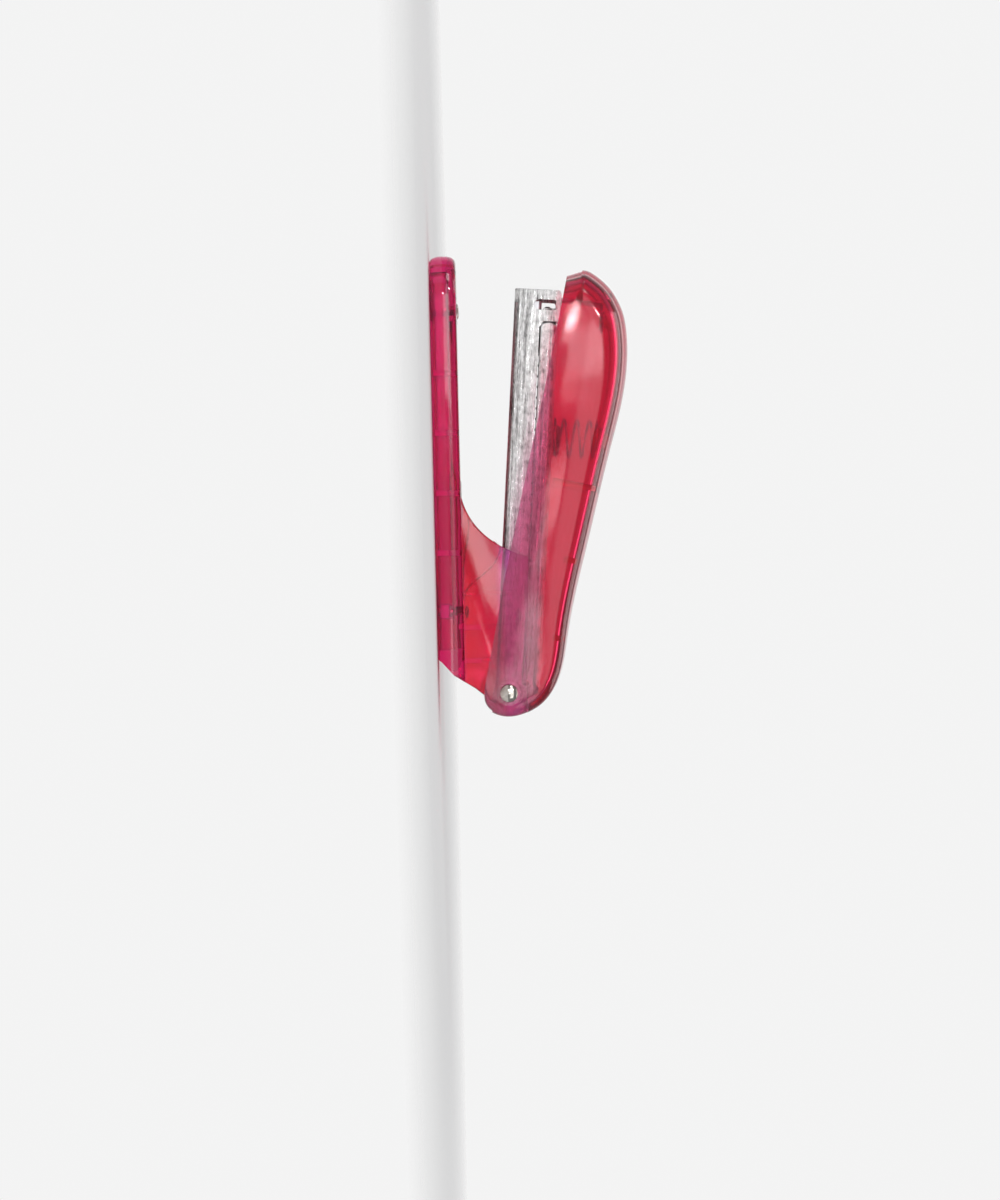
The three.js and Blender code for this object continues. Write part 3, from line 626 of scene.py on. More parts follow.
@dataclass(frozen=True)
class ClearPlastic(Finish):
    """Tinted see-through polystyrene, glossy from its mould, its tint graded by height into painted light and
    painted shade.
    """

    tints_and_painted_light: tuple[tuple[float, Colour], ...]    # (height from the hinge in mm, tint), rising; paler stops painted light, darker ones painted shade
    tilt: float                                # degrees that the heights are turned by
    absorbed: Colour                           # what the plastic lets through in depth
    density: float
    roughness: float
    index: float = 1.5
    clearness: float = 0.94

    def tint_and_painted_light(self, graph: Graph, place: Socket) -> Socket:
        """Grades the tint by height over the hinge, in a turned frame: paler stops paint light, darker ones
        paint shade.

        Args:
            graph: the material's graph.
            place: the piece's own coordinates.

        Returns:
            The tint, with its painted light and shade.
        """
        low, high = self.tints_and_painted_light[0][0], self.tints_and_painted_light[-1][0]
        turn = (0.0, math.radians(-self.tilt), 0.0)
        centred = graph.node("ShaderNodeVectorMath", {0: place, 1: tuple(HINGE)}, operation="SUBTRACT")
        tilted = graph.node("ShaderNodeMapping", {"Vector": centred.outputs[0], "Rotation": turn}).outputs[0]
        height = graph.node("ShaderNodeSeparateXYZ", {0: tilted}).outputs[2]
        share = graph.ramp(height, low * MM, high * MM, 0.0, 1.0)
        ramp = graph.node("ShaderNodeValToRGB", {0: share})
        stops = ramp.color_ramp.elements
        while len(stops) < len(self.tints_and_painted_light):
            stops.new(0.5)
        for stop, (level, colour) in zip(stops, self.tints_and_painted_light):
            stop.position = (level - low) / (high - low)
            stop.color = (*colour, 1.0)
        return ramp.outputs[0]

    def build(self) -> bpy.types.Material:
        """Makes the material, with its volume and the way that lamps shine through it."""
        made, graph, shader, place = self.start()
        # the height-graded tint puts painted light and painted shade into the base colour and the lamps'
        # shadow colour
        tint_and_painted_light = self.tint_and_painted_light(graph, place)
        cloud = graph.ramp(graph.noise(place, 70.0, 3.0), 0.3, 0.75, 0.0, 1.0)
        deep = graph.mix(1.0, tint_and_painted_light, (0.86, 0.78, 0.8, 1.0), "MULTIPLY")
        tint_and_painted_light = graph.mix(graph.math("MULTIPLY", cloud, 0.6), tint_and_painted_light, deep)
        marks = self.group(graph, "handling_marks", place, Scale=150.0, Amount=1.0)
        dust = self.group(graph, "settled_dust", place, Amount=0.5)
        rough = graph.ramp(marks.outputs["Smear"], 0.0, 1.0, self.roughness, self.roughness + 0.05)
        rough = graph.math("ADD", rough, graph.math("MULTIPLY", marks.outputs["Scuff"], 0.05))
        rough = graph.math("ADD", rough, graph.math("MULTIPLY", dust.outputs["Dust"], 0.03))
        graph.tree.links.new(rough, shader.inputs["Roughness"])
        graph.tree.links.new(tint_and_painted_light, shader.inputs["Base Color"])
        ripple = graph.noise(place, 95.0, 1.0)
        high = graph.math("ADD", ripple, graph.math("MULTIPLY", marks.outputs["Scuff"], 0.02))
        high = graph.math("ADD", high, graph.math("MULTIPLY", graph.noise(place, 1300.0, 3.0), 0.035))
        bump = graph.node("ShaderNodeBump", {"Height": high, "Strength": 0.15, "Distance": 0.0006})
        graph.tree.links.new(bump.outputs[0], shader.inputs["Normal"])
        shader.inputs["IOR"].default_value = self.index
        shader.inputs["Transmission Weight"].default_value = self.clearness
        clear = graph.node("ShaderNodeBsdfTransparent", {"Color": tint_and_painted_light})
        lamp = graph.node("ShaderNodeLightPath").outputs["Is Shadow Ray"]
        both = graph.node("ShaderNodeMixShader", {0: lamp, 1: shader.outputs[0], 2: clear.outputs[0]})
        output = made.node_tree.nodes["Material Output"]
        graph.tree.links.new(both.outputs[0], output.inputs["Surface"])
        depth = {"Color": (*self.absorbed, 1.0), "Density": self.density}
        soak = graph.node("ShaderNodeVolumeAbsorption", depth)
        graph.tree.links.new(soak.outputs[0], output.inputs["Volume"])
        return made


@dataclass(frozen=True)
class DrawnSteel(Finish):
    """Steel with a drawn grain, bright or dark."""

    light: Colour
    dark: Colour
    roughness: Span = (0.2, 0.42)              # of the light streaks and of the dark ones
    tilt: float = 0.0                          # degrees that the grain is turned by
    scale: float = 1500.0
    stretch: float = 0.03                      # a small share makes long streaks
    grain: float = 0.25
    grime: Colour = (0.5, 0.48, 0.45)

    def build(self) -> bpy.types.Material:
        """Makes the material, its grain turned to lie along the piece."""
        made, graph, shader, place = self.start()
        turn = (0.0, math.radians(-self.tilt), 0.0)
        along = graph.node("ShaderNodeMapping", {"Vector": place, "Rotation": turn}).outputs[0]
        grain = self.group(graph, "rolled_grain", along, Scale=self.scale, Stretch=self.stretch)
        marks = self.group(graph, "handling_marks", place, Scale=400.0, Amount=1.0)
        worn = self.group(graph, "edge_wear", place, Amount=1.0)
        dust = self.group(graph, "settled_dust", place, Amount=0.7)
        tone = graph.ramp(grain.outputs["Streak"], 0.33, 0.67, 0.0, 1.0)
        speckled = graph.ramp(grain.outputs["Speck"], 0.35, 0.65, -0.3, 0.3)
        tone = graph.math("ADD", tone, speckled, clamp=True)
        # streaks run between the dark and the light colour; on the zinc sheet the near-black streaks are
        # partly painted reflection
        colour = graph.mix(tone, (*self.dark, 1.0), (*self.light, 1.0))
        bright = tuple(min(c * 1.15, 1.0) for c in self.light)
        colour = graph.mix(worn.outputs["Worn"], colour, (*bright, 1.0))
        colour = graph.mix(dust.outputs["Dust"], colour, (*self.grime, 1.0))
        graph.tree.links.new(colour, shader.inputs["Base Color"])
        rough = graph.ramp(tone, 0.0, 1.0, self.roughness[1], self.roughness[0])
        rough = graph.math("ADD", rough, graph.math("MULTIPLY", marks.outputs["Smear"], 0.08))
        rough = graph.math("ADD", rough, graph.math("MULTIPLY", dust.outputs["Dust"], 0.3), clamp=True)
        graph.tree.links.new(rough, shader.inputs["Roughness"])
        high = graph.math("ADD", tone, graph.math("MULTIPLY", marks.outputs["Scuff"], -0.5))
        bump = graph.node("ShaderNodeBump", {"Height": high, "Strength": self.grain, "Distance": 0.00008})
        graph.tree.links.new(bump.outputs[0], shader.inputs["Normal"])
        shader.inputs["Metallic"].default_value = 1.0
        return made


@dataclass(frozen=True)
class TableTop(Finish):
    """The pale floor, which fades out far from the stapler."""

    colour: Colour = (0.82, 0.82, 0.815)
    fade: Span = (0.12, 0.34)                  # metres from the middle, from solid to clear

    def build(self) -> bpy.types.Material:
        """Makes the floor's material."""
        made, graph, shader, place = self.start()
        fine = graph.ramp(graph.noise(place, 900.0, 4.0), 0.3, 0.7, 0.985, 1.0)
        colour = graph.mix(1.0, (*self.colour, 1.0), fine, "MULTIPLY")
        graph.tree.links.new(colour, shader.inputs["Base Color"])
        away = graph.node("ShaderNodeVectorMath", {0: place}, operation="LENGTH").outputs["Value"]
        graph.tree.links.new(graph.ramp(away, *self.fade, 1.0, 0.0), shader.inputs["Alpha"])
        shader.inputs["Roughness"].default_value = 0.9
        shader.inputs["Specular IOR Level"].default_value = 0.0
        return made


# Handle: one crimson plastic; the paler, greyer stops low on the skirt, over the magazine and cover, are
# painted light
HANDLE_PLASTIC = ClearPlastic("clear_crimson", ((-10.0, (0.84, 0.58, 0.78)), (5.4, (0.78, 0.44, 0.60)),
                                                (6.8, (0.83, 0.12, 0.27)), (20.0, (0.83, 0.10, 0.23))),
                              MAGAZINE_TILT, (0.93, 0.30, 0.50), 350.0, 0.085)
# Base: one magenta plastic; the crimson band on the lower ears is painted shade, and the pale pink ear tops,
# from the hinge up, are painted light
BASE_PLASTIC = ClearPlastic("clear_magenta", ((-15.0, (0.84, 0.17, 0.44)), (-10.0, (0.84, 0.15, 0.40)),
                                              (-8.5, (0.92, 0.10, 0.20)), (-2.5, (0.90, 0.13, 0.28)),
                                              (0.0, (0.99, 0.40, 0.96)), (6.0, (0.99, 0.42, 0.98))),
                            0.0, (0.95, 0.28, 0.74), 280.0, 0.04)
# Zinc sheet: a drawn grain whose near-black streaks are partly painted reflection
ZINC = DrawnSteel("zinc_sheet", (0.76, 0.76, 0.755), (0.09, 0.089, 0.087), (0.2, 0.4), tilt=MAGAZINE_TILT,
                  scale=1500.0, grain=0.7)
ANVIL_ZINC = DrawnSteel("pressed_zinc", (0.72, 0.72, 0.71), (0.45, 0.445, 0.44), scale=1200.0, stretch=0.2)
SPRING = DrawnSteel("spring_steel", (0.42, 0.41, 0.42), (0.16, 0.155, 0.16), (0.18, 0.34), scale=2600.0,
                    stretch=0.15, grain=0.1)
BLADE_STEEL = DrawnSteel("blade_steel", (0.5, 0.49, 0.49), (0.24, 0.235, 0.24), (0.2, 0.36), tilt=90.0)
# a brighter copy of the spring steel for the lift leaf; its extra brightness is painted light
LEAF_STEEL_PAINTED_LIGHT = DrawnSteel("leaf_steel_painted_light", (0.72, 0.71, 0.70), (0.4, 0.395, 0.39), scale=1500.0, stretch=0.1)
# a brighter copy of the spring steel for the handle's coil; its extra brightness is painted light
COIL_STEEL_PAINTED_LIGHT = DrawnSteel("coil_steel_painted_light", (0.9, 0.89, 0.89), (0.5, 0.49, 0.49), (0.1, 0.25), scale=2600.0,
                        stretch=0.15, grain=0.05)
RIVET = DrawnSteel("polished_rivet", (0.74, 0.70, 0.64), (0.46, 0.42, 0.37), (0.05, 0.14), scale=900.0,
                   stretch=1.0, grain=0.04)
FLOOR = TableTop("pale_table")


# ---- Placing a finished piece ----


def place(piece: bpy.types.Object, tilt: Tilt, finish: Finish) -> bpy.types.Object:
    """Moves a piece's mesh from its sub-assembly's millimetres to its place, smooths it and dresses it.

    Args:
        piece: the piece, in millimetres.
        tilt: the frame that it was drawn in.
        finish: its finish.

    Returns:
        The piece, with its object at the origin.
    """
    mesh = piece.data
    mesh.transform(tilt.matrix())
    mesh.polygons.foreach_set("use_smooth", [True] * len(mesh.polygons))
    mesh.set_sharp_from_angle(angle=SHARP)
    mesh.materials.clear()
    mesh.materials.append(finish.material())
    mesh.update()
    return piece


def settle(piece: bpy.types.Object, body: Body, slot: Slot, *nodes: str) -> bpy.types.Object:
    """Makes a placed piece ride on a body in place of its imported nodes.

    Args:
        piece: the placed piece.
        body: the body that it moves with.
        slot: the record's slot for its finish.
        nodes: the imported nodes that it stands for.

    Returns:
        The piece.
    """
    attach(piece, body.value)
    return stand_in(piece, slot, *nodes)


def stand_in(piece: bpy.types.Object, slot: Slot, *nodes: str) -> bpy.types.Object:
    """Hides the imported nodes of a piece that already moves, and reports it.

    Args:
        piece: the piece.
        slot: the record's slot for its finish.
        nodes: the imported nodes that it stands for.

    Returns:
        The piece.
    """
    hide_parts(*nodes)
    LOG.info("%s: %d faces, for %s", piece.name, len(piece.data.polygons), ", ".join(nodes))
    return piece


# ---- Geometry Nodes ----


class Generator:
    """A Geometry Nodes tree with named inputs, run once on an empty mesh and turned into a plain one."""

    def __init__(self, name: str, inputs: dict[str, float]) -> None:
        """Starts the tree.

        Args:
            name: the tree's name.
            inputs: names and values of its number inputs. A whole number makes an integer input.
        """
        self.tree = bpy.data.node_groups.new(name, "GeometryNodeTree")
        self.tree.interface.new_socket(name="Geometry", in_out="INPUT", socket_type="NodeSocketGeometry")
        self.tree.interface.new_socket(name="Geometry", in_out="OUTPUT", socket_type="NodeSocketGeometry")
        self.sockets = {}
        for key, value in inputs.items():
            kind = "NodeSocketInt" if isinstance(value, int) else "NodeSocketFloat"
            self.sockets[key] = self.tree.interface.new_socket(name=key, in_out="INPUT", socket_type=kind)
            self.sockets[key].default_value = value
        self.graph = Graph(self.tree)
        self.given = self.graph.node("NodeGroupInput")

    def close(self, shape: Socket, finish: Finish) -> None:
        """Ends the tree in Realize Instances and Set Material.

        Args:
            shape: the finished geometry.
            finish: what it is made of.
        """
        real = self.graph.node("GeometryNodeRealizeInstances", {"Geometry": shape})
        dressed = self.graph.node("GeometryNodeSetMaterial", {"Geometry": real.outputs[0]})
        dressed.inputs["Material"].default_value = finish.material()
        self.graph.node("NodeGroupOutput", {0: dressed.outputs[0]})

    def run(self, name: str, **values: float) -> bpy.types.Object:
        """Runs the tree.

        Args:
            name: the new object's name.
            values: inputs that differ from the tree's usual ones, by name with _ for a space.

        Returns:
            A plain mesh object, in the tree's own millimetres.
        """
        made = bpy.data.objects.new(name, bpy.data.meshes.new(name))
        bpy.context.scene.collection.objects.link(made)
        change = made.modifiers.new("generator", "NODES")
        change.node_group = self.tree
        for key, value in values.items():
            change[self.sockets[key.replace("_", " ")].identifier] = value
        bpy.context.view_layer.update()
        return baked(made)


def coil_generator() -> Generator:
    """Returns the tree for a compression spring on the Z axis, its end turns closed flat."""
    made = Generator("compression_coil", {"Radius": 4.0, "Wire": 0.3, "Turns": 5.0, "Length": 10.0,
                                          "Closed Turns": 0.75, "Steps": 200, "Sides": 12})
    graph, given = made.graph, made.given
    line = graph.node("GeometryNodeCurvePrimitiveLine")
    points = graph.node("GeometryNodeResampleCurve",
                        {"Curve": line.outputs[0], "Count": given.outputs["Steps"]})
    share = graph.node("GeometryNodeSplineParameter").outputs["Factor"]
    turn = graph.math("MULTIPLY", graph.math("MULTIPLY", share, given.outputs["Turns"]), 2 * math.pi)
    flat = graph.math("DIVIDE", given.outputs["Closed Turns"], given.outputs["Turns"])
    top = graph.math("SUBTRACT", 1.0, flat)
    rise = graph.ramp(share, flat, top, 0.0, given.outputs["Length"])
    x = graph.math("MULTIPLY", graph.math("COSINE", turn), given.outputs["Radius"])
    y = graph.math("MULTIPLY", graph.math("SINE", turn), given.outputs["Radius"])
    spot = graph.node("ShaderNodeCombineXYZ", {0: x, 1: y, 2: rise}).outputs[0]
    helix = graph.node("GeometryNodeSetPosition", {"Geometry": points.outputs[0], "Position": spot})
    section = graph.node("GeometryNodeCurvePrimitiveCircle",
                         {"Resolution": given.outputs["Sides"], "Radius": given.outputs["Wire"]})
    tube = graph.node("GeometryNodeCurveToMesh",
                      {"Curve": helix.outputs[0], "Profile Curve": section.outputs[0], "Fill Caps": True})
    made.close(tube.outputs[0], SPRING)
    return made


def rivet_generator(finish: Finish) -> Generator:
    """Builds the tree for a row of round-headed rivets along Y.

    Args:
        finish: the rivets' finish.

    Returns:
        The tree.
    """
    made = Generator("riveted_row", {"Count": 2, "Pitch": 10.0, "Head": 1.4, "Dome": 0.5, "Shank": 0.7,
                                     "Grip": 2.5, "Sides": 24})
    graph, given = made.graph, made.given
    ball = {"Segments": given.outputs["Sides"], "Rings": 12, "Radius": 1.0}
    head = graph.node("GeometryNodeMeshUVSphere", ball)
    sizes = {0: given.outputs["Head"], 1: given.outputs["Head"], 2: given.outputs["Dome"]}
    squash = graph.node("ShaderNodeCombineXYZ", sizes).outputs[0]
    domed = graph.node("GeometryNodeTransform", {"Geometry": head.outputs[0], "Scale": squash})
    shank = graph.node("GeometryNodeMeshCylinder", {"Vertices": given.outputs["Sides"], "Side Segments": 2,
                                                    "Radius": given.outputs["Shank"],
                                                    "Depth": given.outputs["Grip"]})
    down = graph.math("MULTIPLY", given.outputs["Grip"], -0.5)
    low = graph.node("ShaderNodeCombineXYZ", {2: down}).outputs[0]
    placed = graph.node("GeometryNodeTransform", {"Geometry": shank.outputs[0], "Translation": low})
    one = graph.node("GeometryNodeJoinGeometry")
    graph.tree.links.new(domed.outputs[0], one.inputs[0])
    graph.tree.links.new(placed.outputs[0], one.inputs[0])
    step = graph.node("ShaderNodeCombineXYZ", {1: given.outputs["Pitch"]}).outputs[0]
    gaps = graph.math("SUBTRACT", given.outputs["Count"], 1.0)
    first = graph.math("MULTIPLY", graph.math("MULTIPLY", gaps, given.outputs["Pitch"]), -0.5)
    start = graph.node("ShaderNodeCombineXYZ", {1: first}).outputs[0]
    row = graph.node("GeometryNodeMeshLine",
                     {"Count": given.outputs["Count"], "Start Location": start, "Offset": step})
    copies = graph.node("GeometryNodeInstanceOnPoints",
                        {"Points": row.outputs[0], "Instance": one.outputs[0]})
    made.close(copies.outputs[0], finish)
    return made


def rib_generator() -> Generator:
    """Returns the tree for a row of cross ribs along -X."""
    made = Generator("rib_row", {"Count": 6, "Pitch": 12.0, "Thickness": 1.2, "Width": 26.0, "Height": 14.0,
                                 "Start": 0.0})
    graph, given = made.graph, made.given
    size = graph.node("ShaderNodeCombineXYZ", {0: given.outputs["Thickness"], 1: given.outputs["Width"],
                                               2: given.outputs["Height"]}).outputs[0]
    rib = graph.node("GeometryNodeMeshCube", {"Size": size})
    first = graph.node("ShaderNodeCombineXYZ", {0: given.outputs["Start"]}).outputs[0]
    back = graph.math("MULTIPLY", given.outputs["Pitch"], -1.0)
    step = graph.node("ShaderNodeCombineXYZ", {0: back}).outputs[0]
    row = graph.node("GeometryNodeMeshLine",
                     {"Count": given.outputs["Count"], "Start Location": first, "Offset": step})
    copies = graph.node("GeometryNodeInstanceOnPoints",
                        {"Points": row.outputs[0], "Instance": rib.outputs[0]})
    made.close(copies.outputs[0], BASE_PLASTIC)
    return made


# ---- Handle ----


@dataclass
class Handle:
    """The see-through handle: domed shell with a plain band, ribs, spring boss, and the driver blade."""

    wall: float = 1.5
    ceiling: float = 1.8
    step: float = 0.45                       # that the body stands out from the band
    cheek: float = 10.0                      # half width at the hinge
    pin_hole: float = 1.35
    rib: float = 1.2
    # each rib's reach, its lower edge in the middle, and its lower edge at the sides
    ribs_at: tuple = ((46.6, 8.6, 0.8), (30.5, 6.3, 6.3), (13.5, 7.0, 7.0))
    cover_room: float = 5.9                  # half width that the ribs leave for the cover
    post_reach: float = 57.36                # of the post that holds the coil
    rounding_in: float = 5.5                 # height over which the ends turn level
    # the reaches and the heights that are left free for the magazine's tall front
    magazine_room: tuple[Span, Span] = ((84.5, 87.9), (-6, 5.3))
    blade_thick: float = 0.5
    blade_half: float = 4.4
    blade_low: float = 1.5
    blade_high: float = 12.3
    blade_fold: float = 6.05                 # that the fold runs back from the blade's middle
    contour: Knots = ((91.3, -4.25), (91.9, -3.1), (92.55, -1.9), (92.95, -0.8), (92.75, 0.7), (91.9, 2.6),
                      (90.25, 5.2), (87.9, 7.5), (85.2, 9.3), (82.2, 10.5), (78.8, 11.4),
                      (69.3, 12.5), (55.3, 11.9), (35.8, 10.9), (15, 10.3), (3.9, 9.9),
                      (1.2, 8.95), (-0.9, 7.7), (-2.8, 5.8), (-4.4, 3.3), (-5.15, 1.2), (-5.25, -1.6),
                      (-4.4, -3.8), (-3, -4.85), (-1, -5.3))
    lower_edge: Knots = ((0, -5.3), (31, -5.3), (48, -5.0), (67, -4.5), (85, -4.28), (93, -4.25))
    band_line: Knots = ((-5, -2.8), (3, -2.8), (12, -3.3), (28, -3.5), (34, -3.2), (48, -2.6), (67, -2.1),
                        (78, -1.6), (85, -1.25), (93, -1.2))
    swell: Knots = ((-6, 0.0), (0, 0.0), (18, 0.25), (40, 1.2), (62, 1.95), (74, 1.95), (84, 1.5), (93, 0.9))
    camber: Knots = ((-6, 0.1), (4, 0.3), (60, 0.9), (85, 1.2), (94, 1.3))
    corner: Knots = ((-6, 2.6), (0, 2.8), (20, 3.4), (45, 4.2), (65, 5.0), (80, 5.6), (88, 6.2), (94, 6.4))

    def half_width(self, reach: np.ndarray, height: np.ndarray) -> np.ndarray:
        """Finds the shell's outer half width, fullest a little above the band.

        Args:
            reach: the reach, or an array of reaches.
            height: the height over the hinge.

        Returns:
            The half width there.
        """
        tuck = 0.35 * np.clip((0.5 - height) / 6, 0, 1) ** 2
        lean = 0.6 * np.clip((height - 1.5) / 7, 0, 1) ** 2
        return self.cheek + follow(self.swell, reach) - (tuck + lean) * np.clip(reach / 30, 0, 1)

    def dome(self, name: str, inset: float, top: float, low: float, count: int = 170) -> bpy.types.Object:
        """Makes a domed solid with the handle's outer shape, moved in.

        Args:
            name: the object's name.
            inset: how far the sides move in.
            top: how far the crown moves in.
            low: how far the lower edge moves down.
            count: how many rows it has from the chin to the heel.

        Returns:
            The solid, open nowhere.
        """
        line = spline(self.contour, count)
        ahead = np.gradient(line, axis=0)
        inward = np.stack([-ahead[:, 1], ahead[:, 0]], axis=1)
        inward /= np.linalg.norm(inward, axis=1, keepdims=True)
        inward = self.level_ends(line, inward)
        line = line + inward * top
        corner = follow(self.corner, line[:, 0]) - inset
        crown = follow(self.camber, line[:, 0])
        inner = line + inward * (corner + crown)[:, None]
        length = np.concatenate([[0], np.cumsum(np.linalg.norm(np.diff(inner, axis=0), axis=1))])
        length /= length[-1]
        foot_reach = inner[0, 0] + (inner[-1, 0] - inner[0, 0]) * length
        foot = np.stack([foot_reach, follow(self.lower_edge, foot_reach)], axis=1)
        rows = []
        for i in range(count):
            wide = float(self.half_width(inner[i, 0], inner[i, 1])) - inset
            flat = wide - corner[i]
            half = [(y * flat, line[i] + inward[i] * crown[i] * y**2) for y in np.linspace(0, 1, 8)]
            for a in np.radians(np.linspace(0, 90, 11))[1:]:
                spot = line[i] + inward[i] * (crown[i] + corner[i] * (1 - math.cos(a)))
                half.append((flat + corner[i] * math.sin(a), spot))
            for t in np.linspace(0, 1, 13)[1:]:
                spot = inner[i] + (foot[i] - inner[i]) * t
                half.append((float(self.half_width(*spot)) - inset, spot))
            for t in (0.5, 1.0) if low else ():
                half.append((half[-1][0], foot[i] - (0, low * t)))
            points = [(-spot[0], y, spot[1]) for y, spot in half]
            rows.append([(x, -y, z) for x, y, z in points[:0:-1]] + points)
        if low:
            rows = self.sunk_ends(rows)
        return self.skin(name, np.array(rows))

    def level_ends(self, line: np.ndarray, inward: np.ndarray) -> np.ndarray:
        """Turns the inward directions level near the chin and the heel, so that the lower edge is in line.

        Args:
            line: the contour's points.
            inward: the inward direction at each of them.

        Returns:
            The turned directions.
        """
        half = len(line) // 2
        for part, flat in ((slice(0, half), (-1.0, 0.0)), (slice(half, None), (1.0, 0.0))):
            low = line[part][:, 1].min()
            share = np.clip((line[part][:, 1] - low) / self.rounding_in, 0, 1)[:, None]
            share = share * share * (3 - 2 * share)
            inward[part] = inward[part] * share + np.array(flat) * (1 - share)
        return inward / np.linalg.norm(inward, axis=1, keepdims=True)

    def sunk_ends(self, rows: list) -> list:
        """Adds a row under the chin and one under the heel.

        Args:
            rows: the dome's rows of points, from the chin to the heel.

        Returns:
            The rows with the new ones, which lie as deep as the sides go.
        """
        deep = []
        for row in (rows[0], rows[-1]):
            floor = min(z for _, _, z in row)
            deep.append([(x, y, floor) for x, y, _ in row])
        return [deep[0]] + rows + [deep[1]]

    def skin(self, name: str, rows: np.ndarray) -> bpy.types.Object:
        """Joins rows of points into a closed solid, with flat faces over the lower edge.

        Args:
            name: the object's name.
            rows: the rows, as an array of row, point and coordinate.

        Returns:
            The solid.
        """
        n, m, _ = rows.shape
        faces: list[Sequence[int]] = []
        for i in range(n - 1):
            for j in range(m - 1):
                a = i * m + j
                faces.append((a, a + 1, a + m + 1, a + m))
            a, b = i * m, i * m + m - 1
            faces.append((a, b, b + m, a + m))
        faces += [list(range(m)), list(range((n - 1) * m, n * m))]
        return solid(name, rows.reshape(-1, 3), faces)

    def shell(self) -> bpy.types.Object:
        """Builds the shell with its band, ribs, boss and holes."""
        outer = self.dome("handle_shell_clear", 0.0, 0.0, 0.0)
        reach = np.linspace(-9, 99, 110)
        above = [*zip(reach, follow(self.band_line, reach)), (reach[-1], 40), (reach[0], 40)]
        work(outer, Join.KEEP, slab("above_band", np.array(above), (-20, 20), 0.0))
        work(outer, Join.ADD, self.dome("band_core", self.step, self.step * 0.6, 0.0))
        cavity = self.dome("cavity", self.wall + self.step, self.ceiling, 4.0)
        rear = block("rear_opening", (-12, 2), (-self.skirt_in, self.skirt_in), (-12, 4.7), 0.4)
        work(outer, Join.CUT, cavity, rear)
        for tool in self.ribs():
            work(outer, Join.ADD, tool)
        work(outer, Join.CUT, drill(self.pin_hole, (0, 0, 0), "y"))
        reach, height = self.magazine_room
        across = (-self.cover_room, self.cover_room)
        work(outer, Join.CUT, block("magazine_relief", reach, across, height, 0.4))
        for side in (-1, 1):
            seat = ((2.75, side * 9.25), (2.85, side * 9.35), (2.95, side * 12))
            work(outer, Join.CUT, turned("pin_seat", seat, (0, 0, 0), "y", 64))
        place(outer, LEVER, HANDLE_PLASTIC)
        return settle(outer, Body.HANDLE, Slot.HANDLE, "handle_shell")

    @property
    def skirt_in(self) -> float:
        """The cheeks' inner half width."""
        return self.cheek - self.wall - self.step

    def ribs(self) -> list[bpy.types.Object]:
        """Returns the ceiling ribs, the gussets beside the cover, the spring boss and the blade's stake."""
        clear, half, top = self.cover_room, 16.0, 20.0
        made = []
        for reach, middle, beside in self.ribs_at:
            line = [(-half, beside), (half, beside), (half, top), (-half, top)]
            if beside != middle:
                line[1:1] = [(-clear, beside), (-clear, middle), (clear, middle), (clear, beside)]
            span = (reach - self.rib / 2, reach + self.rib / 2)
            made.append(slab("rib", rounded(line, 0.4), span, 0.12, "yz"))
        boss = ((1.9, 7.8), (2.3, 7.9), (2.55, 8.3), (2.6, 9), (2.6, top))
        stake = ((1.0, 4.4), (1.6, 4.45), (1.7, 4.7), (0.9, 4.85), (0.9, top))
        made.append(turned("boss", boss, (-self.post_reach, 0, 0)))
        made.append(turned("stake", stake, (-self.stake_reach, 0, 0)))
        inset = 0.55 * self.wall + self.step
        for tool in made:
            work(tool, Join.KEEP, self.dome("envelope", inset, self.ceiling / 2, 4.0, 90))
        return made

    @property
    def blade_reach(self) -> float:
        """The reach of the driver blade's middle plane, in its own frame."""
        magazine = Magazine()
        return magazine.reach - magazine.sheet - magazine.slot / 2 - self.blade_thick / 2

    @property
    def stake_reach(self) -> float:
        """The reach of the post that holds the blade."""
        return self.blade_reach - 3.35

    def blade(self) -> None:
        """Builds the driver blade: a flat strip folded over at the top, where the stake holds it."""
        thick, low, high = self.blade_thick, self.blade_low, self.blade_high
        front, rear = self.blade_reach + thick / 2, self.blade_reach - thick / 2
        end = self.blade_reach - self.blade_fold
        under = high - thick
        line = [(front, low), (front, high), (end, high), (end, under), (rear, under), (rear, low)]
        line = rounded(line, (0.1, 0.8, 0.15, 0.15, 0.3, 0.1), 6)
        strip = slab("driver_strip", line, (-self.blade_half, self.blade_half), 0.08)
        turn = math.radians(BLADE_TURN)
        at = self.stake_reach * math.cos(turn) - 5 * math.sin(turn)
        work(strip, Join.CUT, drill(1.2, (-at, 0, 0)))
        place(strip, BLADE, BLADE_STEEL)
        settle(strip, Body.HANDLE, Slot.SPRING, "driver_blade")

    def build(self) -> None:
        """Builds the handle's pieces."""
        self.shell()
        self.blade()


# ---- Base ----


